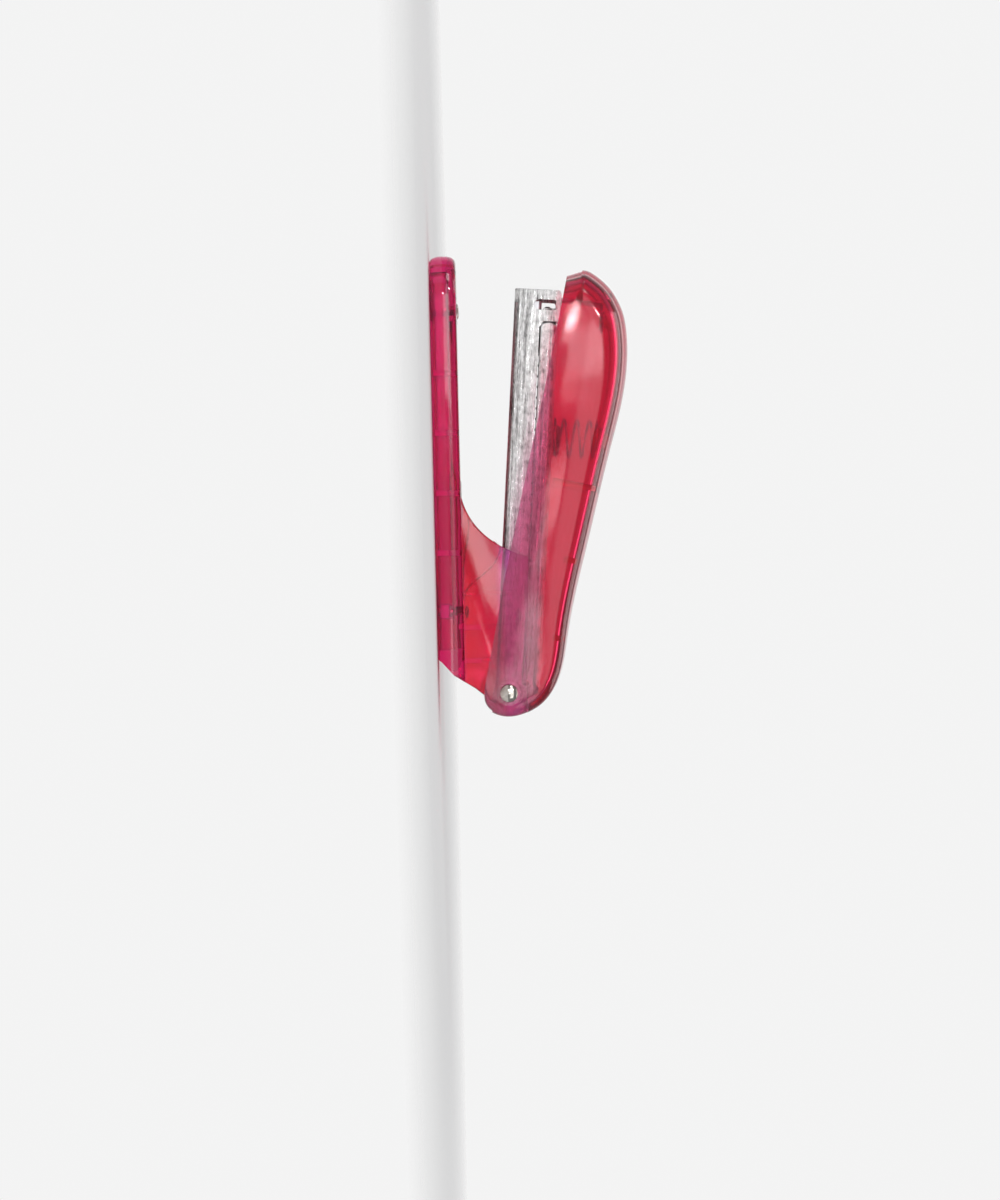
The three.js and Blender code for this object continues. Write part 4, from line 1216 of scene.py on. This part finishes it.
@dataclass
class Base:
    """The see-through base: hollow bar with full round sides, ears and cross ribs, and what it carries."""

    thickness: float = 5.8
    front_half: float = 10.0
    rear_half: float = 9.5
    tip_radius: float = 9.0
    wall: float = 1.9
    side_depth: float = 2.3                  # that the sides curve in by
    web: float = 1.6
    hollow: Span = (9.5, 90.3)
    rib_pitch: float = 12.9
    rib_count: int = 4
    first_rib: float = 30.4
    ear: Span = (5.8, 7.6)
    ear_radius: float = 4.7
    crest: Span = (29.2, 4.9)                # of the ears' top, from the hinge
    walls_at: Span = (14.3, 7.2)
    ear_ribs_at: tuple = (21.6, 14.3, 7.3)
    floor: float = 5.4
    pin_hole: float = 1.35
    rivet_side: float = 5.0
    rivet_bore: float = 1.0
    leaf_rivet: float = 17.8
    leaf_reach: float = 30.8                 # at which the leaf meets the magazine
    leaf_thick: float = 0.4
    anvil_half: float = 7.0
    anvil_thick: float = 0.8

    def __post_init__(self) -> None:
        """Reads the bar's reach and the anvil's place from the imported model."""
        low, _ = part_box("base_body")
        self.reach = (HINGE.x - low.x) / MM
        low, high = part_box("anvil_plate")
        self.anvil = ((HINGE.x - high.x) / MM, (HINGE.x - low.x) / MM)
        low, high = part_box("anvil_rivet_left")
        self.anvil_rivet = (HINGE.x - (low.x + high.x) / 2) / MM

    def plan(self, inset: float) -> np.ndarray:
        """Draws the bar's outline from above.

        Args:
            inset: how far it is moved in.

        Returns:
            The outline as (reach, y).
        """
        tip = self.tip_radius - inset
        centre = self.reach - self.tip_radius
        front, rear = self.front_half - inset, self.rear_half - inset
        right = arc((centre, front - tip), tip, 0, 90, 14)
        right += [(r, rear + (front - rear) * r / centre) for r in (60, 30, 0, -8)]
        return np.array([(r, -y) for r, y in right[::-1]] + right)

    def bar(self) -> bpy.types.Object:
        """Makes the solid bar, its side and tip full and round."""
        half, depth = self.thickness / 2, self.side_depth
        made = []
        for a in np.radians(np.linspace(-90, 90, 27)):
            z = half + half * math.copysign(abs(math.sin(a)) ** 0.8, a)
            inset = depth * (1 - math.cos(a) ** 0.62) if abs(a) < 1.57 else depth
            flat = self.plan(inset)
            made.append(np.stack([-flat[:, 0], flat[:, 1], np.full(len(flat), z)], axis=1))
        return loft("base_body_clear", made)

    def bar_hollow(self) -> bpy.types.Object:
        """Makes the hollow under the deck, less its cross ribs and its long web."""
        rear, front = self.hollow
        flat = self.plan(self.wall)
        flat = np.stack([np.clip(flat[:, 0], rear, front), flat[:, 1]], axis=1)
        keep = np.linalg.norm(flat - np.roll(flat, 1, axis=0), axis=1) > 1e-3
        deck = self.thickness - self.wall
        hollow = slab("hollow", flat[keep], (-3, deck), 0.5, "xy")
        rows = rib_generator().run("ribs", Count=self.rib_count, Pitch=self.rib_pitch, Start=-self.first_rib)
        half = self.web / 2
        line = np.array([(0, -half), (self.reach, -half), (self.reach, half), (0, half)])
        web = slab("web", line, (-4, 8), 0.1, "xy")
        return work(hollow, Join.CUT, rows, web)

    def ear_line(self) -> np.ndarray:
        """Returns an ear's outline: a long sweep up from the bar, a level top, and round the hinge."""
        reach, up = self.crest
        root = np.array([(reach + 18.1, self.thickness - 0.5), (reach + 7.6, self.thickness - 0.5),
                         (reach + 2.3, HINGE_HEIGHT - 3.1), (reach, HINGE_HEIGHT + up)])
        t = np.linspace(0, 1, 40)[:, None]
        weights = ((1 - t) ** 3, 3 * t * (1 - t) ** 2, 3 * t**2 * (1 - t), t**3)
        sweep = sum(weight * corner for weight, corner in zip(weights, root))
        crown = self.ear_radius - 0.8
        over = [(self.ear_radius * math.cos(a), HINGE_HEIGHT + crown * math.sin(a))
                for a in np.radians(np.linspace(95, 165, 12))]
        back = arc((0, HINGE_HEIGHT), self.ear_radius, 170, 250, 14)
        low = self.floor - 2
        slant = [(-0.3, HINGE_HEIGHT - 5.4), (1.1, HINGE_HEIGHT - 7.1), (4.0, low), (root[0][0], low)]
        top = [(reach - 0.5, HINGE_HEIGHT + up + 0.05), (reach - 8, HINGE_HEIGHT + up - 0.25)]
        return np.array([*map(tuple, sweep), *top, (2.3, HINGE_HEIGHT + crown), *over, *back, *slant])

    def body(self) -> None:
        """Builds the see-through body."""
        body = self.bar()
        slant = [(8.5, -1), (7.6, 0), (6.9, 0.9), (4.1, 3.4), (1.1, 8), (-12, 8), (-12, -1)]
        work(body, Join.CUT, slab("slant", np.array(slant), (-15, 15), 0.0))
        work(body, Join.CUT, self.bar_hollow())
        near, far = self.ear
        for low, high in ((near, far), (-far, -near)):
            work(body, Join.ADD, slab("ear", self.ear_line(), (low, high), 0.4))
        work(body, Join.CUT, block("throat", (-8, 46), (-near, near), (self.floor, 40), 0.05))
        low, across = self.floor - 1, (-near - 0.5, near + 0.5)
        for reach in self.walls_at:
            work(body, Join.ADD, block("cross_wall", (reach - 0.55, reach + 0.55), across, (low, 9.5), 0.2))
        for reach in self.ear_ribs_at:
            for side in (-1, 1):
                span = sorted((side * (near - 0.25), side * (near + 0.6)))
                rib = block("ear_rib", (reach - 0.45, reach + 0.45), span, (low, HINGE_HEIGHT + 2.2), 0.12)
                work(body, Join.ADD, rib)
        work(body, Join.CUT, drill(self.pin_hole, (0, 0, HINGE_HEIGHT), "y"))
        rear, front = self.anvil
        gap, half = 0.3, self.anvil_half + 0.3
        seat = self.thickness - self.anvil_thick - gap
        pocket = block("pocket", (rear - gap, front + gap), (-half, half), (seat, 12), 0.05)
        bore = self.rivet_bore
        holes = [drill(bore, (-self.anvil_rivet, y, 0)) for y in (-self.rivet_side, self.rivet_side)]
        step = ((1.7, -2), (1.7, 3.9), (bore, 3.95), (bore, 12))
        holes.append(turned("leaf_bore", step, (-self.leaf_rivet, 0, 0)))
        work(body, Join.CUT, pocket, *holes)
        place(body, TABLE, BASE_PLASTIC)
        settle(body, Body.BASE, Slot.BASE, "base_body")

    def anvil_plate(self) -> None:
        """Builds the anvil with the two grooves that turn a staple's legs, and its two rivets."""
        rear, front = self.anvil
        half, thick = self.anvil_half, self.anvil_thick
        corners = [(rear, -half), (front, -half), (front, half), (rear, half)]
        top = self.thickness
        plate = slab("anvil", rounded(corners, 1.1, 5), (top - thick, top), 0.16, "xy")
        near, far = self.strike() - 0.75, self.strike() + 0.75
        for side in (-1, 1):
            low, high = sorted((side * 1.0, side * 4.6))
            corners = [(near, low), (far, low), (far, high), (near, high)]
            groove = slab("groove", rounded(corners, 0.7, 5), (top - 0.4, top + 1), 0.3, "xy")
            work(plate, Join.CUT, groove)
        for y in (-self.rivet_side, self.rivet_side):
            work(plate, Join.CUT, drill(self.rivet_bore, (-self.anvil_rivet, y, 0)))
        place(plate, TABLE, ANVIL_ZINC)
        settle(plate, Body.BASE, Slot.ZINC, "anvil_plate")
        rivets = rivet_generator(RIVET).run("anvil_rivets")
        rivets.data.transform(Matrix.Translation((-self.anvil_rivet, 0, top - 0.02)))
        place(rivets, TABLE, RIVET)
        settle(rivets, Body.BASE, Slot.RIVET, "anvil_rivet_right", "anvil_rivet_left")

    def strike(self) -> float:
        """Returns the reach at which the driver blade meets the anvil."""
        low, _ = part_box("magazine")
        return (HINGE.x - low.x) / MM - 1.73

    def leaf(self) -> None:
        """Builds the leaf that lifts the magazine, with its rivet."""
        seat, thick, half = self.floor + 0.5, self.leaf_thick, 3.0
        slope = math.tan(math.radians(MAGAZINE_TILT))
        touch = self.leaf_reach
        crest = HINGE_HEIGHT - 3.0 / math.cos(math.radians(MAGAZINE_TILT)) + touch * slope - 0.3 - thick
        line = spline([(15.4, seat), (18, seat), (20.8, seat + 0.05), (23.2, seat + 1.2), (26, crest - 3.0),
                       (28.6, crest - 0.75), (touch, crest), (32.0, crest - 0.15), (32.9, crest - 1.0)], 60)
        along = np.gradient(line, axis=0)
        along /= np.linalg.norm(along, axis=1, keepdims=True)
        side = np.stack([-along[:, 1], along[:, 0]], axis=1) * thick / 2
        strip = np.concatenate([line + side, (line - side)[::-1]])
        piece = slab("lift_leaf", strip, (-half, half), 0.08)
        work(piece, Join.CUT, drill(self.rivet_bore, (-self.leaf_rivet, 0, 0)))
        # the leaf's brighter steel is painted light
        place(piece, TABLE, LEAF_STEEL_PAINTED_LIGHT)
        stand_in(piece, Slot.SPRING, "lift_spring")
        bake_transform(piece)
        top = seat + thick / 2 + 0.25
        profile = ((1.15, 3.0), (1.3, 3.1), (1.3, 3.5), (1.2, 3.6), (0.7, 3.65), (0.7, top), (1.35, top),
                   (1.42, top + 0.15), (1.25, top + 0.42), (0.85, top + 0.6), (0.35, top + 0.68))
        rivet = turned("leaf_rivet", profile, (-self.leaf_rivet, 0, 0))
        place(rivet, TABLE, RIVET)
        settle(rivet, Body.BASE, Slot.RIVET, "lift_spring_rivet")

    def hinge(self) -> None:
        """Builds the round-headed hinge pin and the sleeve round it."""
        _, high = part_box("hinge_pin")
        end = high.y / MM
        face = end - 1.1
        head = [(1.25, face), (1.82, face), (1.93, face + 0.06), (1.95, face + 0.2)]
        head += [(1.95 * math.cos(a) ** 0.8, face + 0.2 + 0.9 * math.sin(a))
                 for a in np.radians(np.arange(8, 86, 8))]
        head += [(0.12, end)]
        profile = [(r, -y) for r, y in head[::-1]] + head
        pin = turned("hinge_rivet", profile, (0, 0, 0), "y", 64)
        place(pin, UPRIGHT, RIVET)
        settle(pin, Body.BASE, Slot.RIVET, "hinge_pin")
        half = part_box("pivot_sleeve")[1].y / MM
        ends = ((1.5, -half), (1.9, -half), (2.0, -half + 0.1), (2.0, half - 0.1), (1.9, half), (1.5, half))
        sleeve = turned("sleeve", ends, (0, 0, 0), "y", 48)
        work(sleeve, Join.CUT, drill(1.36, (0, 0, 0), "y"))
        place(sleeve, UPRIGHT, ZINC)
        settle(sleeve, Body.BASE, Slot.ZINC, "pivot_sleeve")

    def build(self) -> None:
        """Builds the base's pieces."""
        self.body()
        self.anvil_plate()
        self.leaf()
        self.hinge()


# ---- Magazine and cover ----


def channel_section(half: float, low: float, high: float, sheet: float, bend: float, up: bool = True
                    ) -> np.ndarray:
    """Returns the outline of a folded channel, seen end on.

    Args:
        half: its outer half width.
        low: its lowest height.
        high: its highest height.
        sheet: the thickness of the sheet.
        bend: the outer radius of its two folds.
        up: True for walls that stand up from a floor, False for walls that hang from a top.

    Returns:
        The outline as (y, height).
    """
    outer = [(-half, high), (-half, low), (half, low), (half, high)]
    inside = half - sheet
    inner = [(inside, high), (inside, low + sheet), (-inside, low + sheet), (-inside, high)]
    radii = (0.22, bend, bend, 0.22, 0.22, bend - sheet, bend - sheet, 0.22)
    if not up:
        flip = low + high
        outer = [(y, flip - z) for y, z in outer]
        inner = [(y, flip - z) for y, z in inner]
    return rounded(outer + inner, radii, 5)


@dataclass
class Magazine:
    """The steel channel that holds the staples, with its tall front, and the rail inside it."""

    half: float = 5.3
    sheet: float = 0.6
    floor: float = -3.0
    wall_top: float = 2.6
    front_top: float = 7.1
    front_length: float = 6.8
    slot: float = 1.4
    pin_hole: float = 1.35

    def __post_init__(self) -> None:
        """Reads the channel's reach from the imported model."""
        low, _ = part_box("magazine")
        turn = math.radians(MAGAZINE_TILT)
        self.reach = ((HINGE.x - low.x) / MM - abs(self.floor) * math.sin(turn)) / math.cos(turn)
        self.slot_rear = self.reach - self.sheet - self.slot
        self.cover_front = self.reach - self.front_length

    def side(self) -> np.ndarray:
        """Returns the channel's outline from the side."""
        front, top, step = self.reach, self.front_top, self.cover_front
        points = [(front, self.floor), (front, top), (step, top), (step, self.wall_top + 0.9),
                  (step - 1.3, self.wall_top), (8, self.wall_top), (6.5, 2.4), (1.8, 2.4)]
        radii = [0.3, 0.9, 0.5, 0.5, 0.6, 0.8, 0.5, 1.0]
        line = rounded(points + [(1.0, 2.83), (0.0, -3.0)], radii + [0, 0], 5)[:-2]
        return np.array([*map(tuple, line), *arc((0, 0), -self.floor, 70, 270, 24)])

    def build(self) -> None:
        """Builds the channel and the rail."""
        inside, top = self.half - self.sheet, 9.0
        section = channel_section(self.half, self.floor, top, self.sheet, 1.1)
        body = slab("magazine_channel", section, (-9, self.slot_rear), 0.05, "yz")
        corners = [(-self.half, self.floor), (self.half, self.floor), (self.half, top), (-self.half, top)]
        panel = slab("panel", rounded(corners, 0.9, 5), (self.reach - self.sheet, self.reach), 0.2, "yz")
        rear, front = self.slot_rear - 1, self.reach - 0.3
        line = np.array([(rear, self.floor), (front, self.floor), (front, top), (rear, top)])
        walls = [slab("wall", line, sorted((side * self.half, side * inside)), 0.08) for side in (-1, 1)]
        work(body, Join.ADD, *walls, panel)
        work(body, Join.KEEP, slab("side", self.side(), (-6, 6), 0.0))
        work(body, Join.CUT, block("rear_gap", (-top, 5), (-inside, inside), (-top, top), 0.05))
        rear, front = self.slot_rear - 2.4, self.slot_rear - 0.1
        window = [(rear, 6), (front, 6), (front, 2), (front - 1.2, 0.8), (rear, 2)]
        window = rounded(window, (0.5, 0.5, 0.4, 0.5, 0.4), 5)
        work(body, Join.CUT, slab("window", window, (-9, 9), 0.0), drill(self.pin_hole, (0, 0, 0), "y"))
        place(body, CHANNEL, ZINC)
        settle(body, Body.MAGAZINE, Slot.ZINC, "magazine")
        section = channel_section(3.9, -5.0, 2.1, self.sheet, 0.9, up=False)
        rail = slab("staple_guide", section, (13, self.slot_rear - 0.2), 0.1, "yz")
        work(rail, Join.KEEP, block("depth", (0, 99), (-5, 5), (-2.1, 9), 0.05))
        place(rail, CHANNEL, ZINC)
        settle(rail, Body.MAGAZINE, Slot.ZINC, "staple_rail")


@dataclass
class Cover:
    """The steel cover over the magazine, with the pusher, its rod and spring, and the handle's spring."""

    magazine: Magazine
    low: float = 2.9
    top: float = 6.6
    ear_y: float = 4.2
    anchor: Span = (2.26, 3.44)
    rod_height: float = 4.25
    rod_radius: float = 0.7
    rod_bore: float = 0.95
    rear_tab: float = 9.6
    coil_reach: float = 55.6
    coil_wire: float = 0.28
    coil_height: float = 9.2

    def __post_init__(self) -> None:
        """Derives what the cover takes from the magazine."""
        self.tongue = self.magazine.slot_rear - 1.9
        self.front = self.magazine.cover_front - 0.3
        self.half = self.magazine.half
        self.sheet = self.magazine.sheet
        self.inside = self.half - self.sheet
        self.pusher_front = self.magazine.slot_rear - 0.5
        self.pusher_block = self.tongue - self.sheet - 0.3
        self.pusher_rear = self.pusher_block - 8.5

    def shell(self) -> None:
        """Builds the cover."""
        section = channel_section(self.half, self.low, self.top, self.sheet, 1.0, up=False)
        body = slab("cover_channel", section, (0, self.front), 0.08, "yz")
        nose = (self.top - self.low) / 2
        line = [(1.5, self.top), (1.5, self.top - 0.6), (5, self.low + 1.5), (5.6, self.low)]
        line += arc((self.front - nose, self.top - nose), nose, -90, 90, 14)
        work(body, Join.KEEP, slab("side", np.array(line), (-7, 7), 0.0))
        under, inner = self.top - self.sheet, self.inside - 0.3
        tongue = block("tongue", (self.front - 5, self.tongue), (-inner, inner), (under, self.top), 0.12)
        lip = (self.tongue - self.sheet, self.tongue)
        lip = block("lip", lip, (-inner, inner), (3.3, self.top - 0.1), 0.12)
        tab = (self.rear_tab, self.rear_tab + self.sheet)
        tab = block("tab", tab, (-2.6, 2.6), (2.8, under + 0.2), 0.12)
        work(body, Join.ADD, tongue, lip, tab)
        ear = [(9, under + 0.3), (9, 3), (3, -1.2), *arc((0, 0), 2.8, -60, -200, 18), (0.2, under + 0.3)]
        for side in (-1, 1):
            y = side * self.ear_y
            work(body, Join.ADD, slab("ear", np.array(ear), (y - self.sheet / 2, y + self.sheet / 2), 0.1))
        bore = drill(self.magazine.pin_hole, (0, 0, 0), "y")
        pin = drill(0.85, (-self.anchor[0], 0, self.anchor[1]), "y")
        ends = ((self.rod_bore, -self.tongue - 3), (self.rod_bore, -self.rear_tab + 3))
        rod = turned("rod_bore", ends, (0, 0, self.rod_height), "x")
        work(body, Join.CUT, bore, pin, rod)
        place(body, CHANNEL, ZINC)
        settle(body, Body.COVER, Slot.ZINC, "magazine_cover")

    def pusher(self) -> None:
        """Builds the folded pusher that rides on the rod and sits over the rail."""
        half, low = self.inside - 0.2, 2.4
        foot = self.magazine.floor + self.sheet + 0.5
        section = channel_section(half, foot, low + 0.5, half - 4.1, 0.9, up=False)
        body = slab("pusher_block", section, (self.pusher_rear, self.pusher_front), 0.12, "yz")
        top = self.top - self.sheet - 0.3
        box = rounded([(-3, low), (3, low), (3, top), (-3, top)], (0.1, 0.1, 0.7, 0.7), 5)
        work(body, Join.ADD, slab("box", box, (self.pusher_rear, self.pusher_block), 0.12, "yz"))
        work(body, Join.CUT, drill(self.rod_bore, (0, 0, self.rod_height), "x"))
        place(body, CHANNEL, SPRING)
        settle(body, Body.PUSHER, Slot.SPRING, "pusher")

    def rod(self) -> None:
        """Builds the rod and the anchor pin behind it."""
        r, rear, front = self.rod_radius, self.anchor[0] + 1.05, self.tongue + 0.6
        ends = ((r * 0.6, -front), (r, -front + 0.25), (r, -rear - 0.2), (r * 0.7, -rear))
        rod = turned("guide_rod", ends, (0, 0, self.rod_height), "x", 24)
        place(rod, CHANNEL, SPRING)
        settle(rod, Body.COVER, Slot.SPRING, "pusher_rod")
        half = self.half + 0.2
        ends = ((0.45, -half), (0.68, -half + 0.1), (0.75, -half + 0.3),
                (0.75, half - 0.3), (0.68, half - 0.1), (0.45, half))
        pin = turned("anchor_pin", ends, (-self.anchor[0], 0, self.anchor[1]), "y", 32)
        place(pin, CHANNEL, RIVET)
        settle(pin, Body.COVER, Slot.RIVET, "spring_anchor_pin")

    def springs(self, coil: Generator) -> None:
        """Builds the pusher's spring, the handle's spring and its seat.

        Args:
            coil: the tree that winds a spring.
        """
        rear, front = self.rear_tab + self.sheet + 0.5, self.pusher_rear - 0.5
        wound = coil.run("long_spring", Radius=1.4, Wire=0.2, Turns=30.0, Length=front - rear,
                         Closed_Turns=1.5, Steps=720, Sides=8)
        turn = Matrix.Rotation(math.radians(-90), 4, "Y")
        wound.data.transform(Matrix.Translation((-rear, 0, self.rod_height)) @ turn)
        place(wound, CHANNEL, SPRING)
        stand_in(wound, Slot.SPRING, "pusher_spring")
        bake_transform(wound)
        wire, low, tall = self.coil_wire, self.top + 0.3, self.coil_height
        loops = coil.run("handle_coil", Radius=4.1, Wire=wire, Turns=5.0, Length=tall,
                         Closed_Turns=0.8, Steps=320, Sides=14)
        loops.data.transform(Matrix.Translation((-self.coil_reach, 0, low + wire)))
        # the coil's brighter steel is painted light
        place(loops, CHANNEL, COIL_STEEL_PAINTED_LIGHT)
        stand_in(loops, Slot.SPRING, "handle_spring")
        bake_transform(loops)
        profile = ((2.8, low), (2.9, low + 0.12), (2.9, low + 0.6), (2.75, low + 0.75),
                   (2.35, low + 1.35), (2.2, low + 1.5), (0.7, low + 1.5))
        seat = turned("coil_seat", profile, (-self.coil_reach, 0, 0))
        place(seat, CHANNEL, ZINC)
        settle(seat, Body.COVER, Slot.ZINC, "spring_seat")

    def build(self) -> None:
        """Builds the cover's pieces."""
        self.shell()
        self.pusher()
        self.rod()
        self.springs(coil_generator())


# ---- Light, floor, camera ----


@dataclass
class Stage:
    """The pale floor, the soft light and the camera."""

    distance: float = 0.8
    view_width: float = 0.2604               # the frame's long side, at the stapler's middle plane
    aim: tuple[float, float] = (0.02470, 0.01367)
    roll: float = 1.39                       # degrees
    lit: tuple[float, float, float] = (0, 0, 0.015)
    reach: float = 3.0                       # of the floor, each way
    dark: tuple = (0.24, 0.24, 0.25, 1.0)
    pale: tuple = (0.90, 0.90, 0.90, 1.0)
    lamps: tuple = (("front_panel", (0.0, -1.25, 0.40), (1.8, 0.5), 4.0),
                    ("bar_strip_front", (-0.13, -1.0, 0.2), (0.14, 0.4), 0.6),
                    ("bar_strip_rear", (0.07, -1.0, 0.05), (0.06, 0.1), 0.07),
                    ("nose_glint", (-0.46, -1.0, 0.59), (0.05, 0.1), 1.5),
                    ("chin_glint", (-0.23, -1.0, 0.0), (0.035, 0.09), 0.45),
                    ("top_soft", (0.05, 0.25, 0.9), (1.0, 0.6), 4.0),
                    ("mouth_side", (-0.75, -0.45, 0.3), (0.35, 0.25), 1.6))

    def camera(self) -> None:
        """Makes the camera: level, square to the stapler's side, turned so that the mouth is up."""
        data = bpy.data.cameras.new("camera")
        data.sensor_width = 36.0
        data.lens = data.sensor_width * self.distance / self.view_width
        data.clip_start, data.clip_end = 0.01, 50.0
        made = bpy.data.objects.new("camera", data)
        bpy.context.scene.collection.objects.link(made)
        a = math.radians(self.roll)
        right = Vector((math.sin(a), 0.0, math.cos(a)))
        up = Vector((-math.cos(a), 0.0, math.sin(a)))
        back = right.cross(up)
        turn = Matrix((right, up, back)).transposed()
        made.matrix_world = Matrix.Translation((self.aim[0], -self.distance, self.aim[1])) @ turn.to_4x4()
        bpy.context.scene.camera = made

    def lamp(self, name: str, at: Sequence[float], size: Span, power: float) -> None:
        """Adds a rectangular light aimed at the stapler.

        Args:
            name: its name.
            at: where it stands, in metres.
            size: its size across and up.
            power: its power in watts.
        """
        data = bpy.data.lights.new(name, "AREA")
        data.shape = "RECTANGLE"
        data.size, data.size_y = size
        data.energy = power
        made = bpy.data.objects.new(name, data)
        bpy.context.scene.collection.objects.link(made)
        back = (Vector(at) - Vector(self.lit)).normalized()
        right = Vector((0, 1, 0)).cross(back) if abs(back.x) > 0.9 else Vector((0, 0, 1)).cross(back)
        right = right.normalized()
        turn = Matrix((right, back.cross(right), back)).transposed()
        made.matrix_world = Matrix.Translation(Vector(at)) @ turn.to_4x4()

    def build(self) -> None:
        """Makes the floor, the lights, the world and the camera."""
        corners = [(x * self.reach, y * self.reach, 0) for x, y in ((-1, -1), (1, -1), (1, 1), (-1, 1))]
        floor = solid("floor", np.array(corners), [(0, 1, 2, 3)])
        floor.data.materials.append(FLOOR.material())
        world = bpy.data.worlds.new("studio")
        bpy.context.scene.world = world
        world.use_nodes = True
        graph = Graph(world.node_tree)
        way = graph.node("ShaderNodeTexCoord").outputs["Generated"]
        across = graph.node("ShaderNodeSeparateXYZ", {0: way}).outputs[1]
        far = graph.ramp(across, 0.45, 0.95, 0.0, 1.0)
        tone = graph.mix(far, self.dark, self.pale)
        graph.tree.links.new(tone, world.node_tree.nodes["Background"].inputs[0])
        for lamp in self.lamps:
            self.lamp(*lamp)
        self.camera()
        bpy.context.scene.view_settings.view_transform = "Standard"


def shared_groups() -> None:
    """Builds the shader groups that the finishes share."""
    for made in (rolled_grain(), handling_marks(), edge_wear(), settled_dust()):
        LOG.info("shared group %s", made.name)


def main() -> None:
    """Builds the stapler's looks and the stage."""
    logging.basicConfig(level=logging.INFO, format="%(message)s")
    shared_groups()
    Base().build()
    magazine = Magazine()
    magazine.build()
    Cover(magazine).build()
    Handle().build()
    Stage().build()


if __name__ == "__main__":
    main()
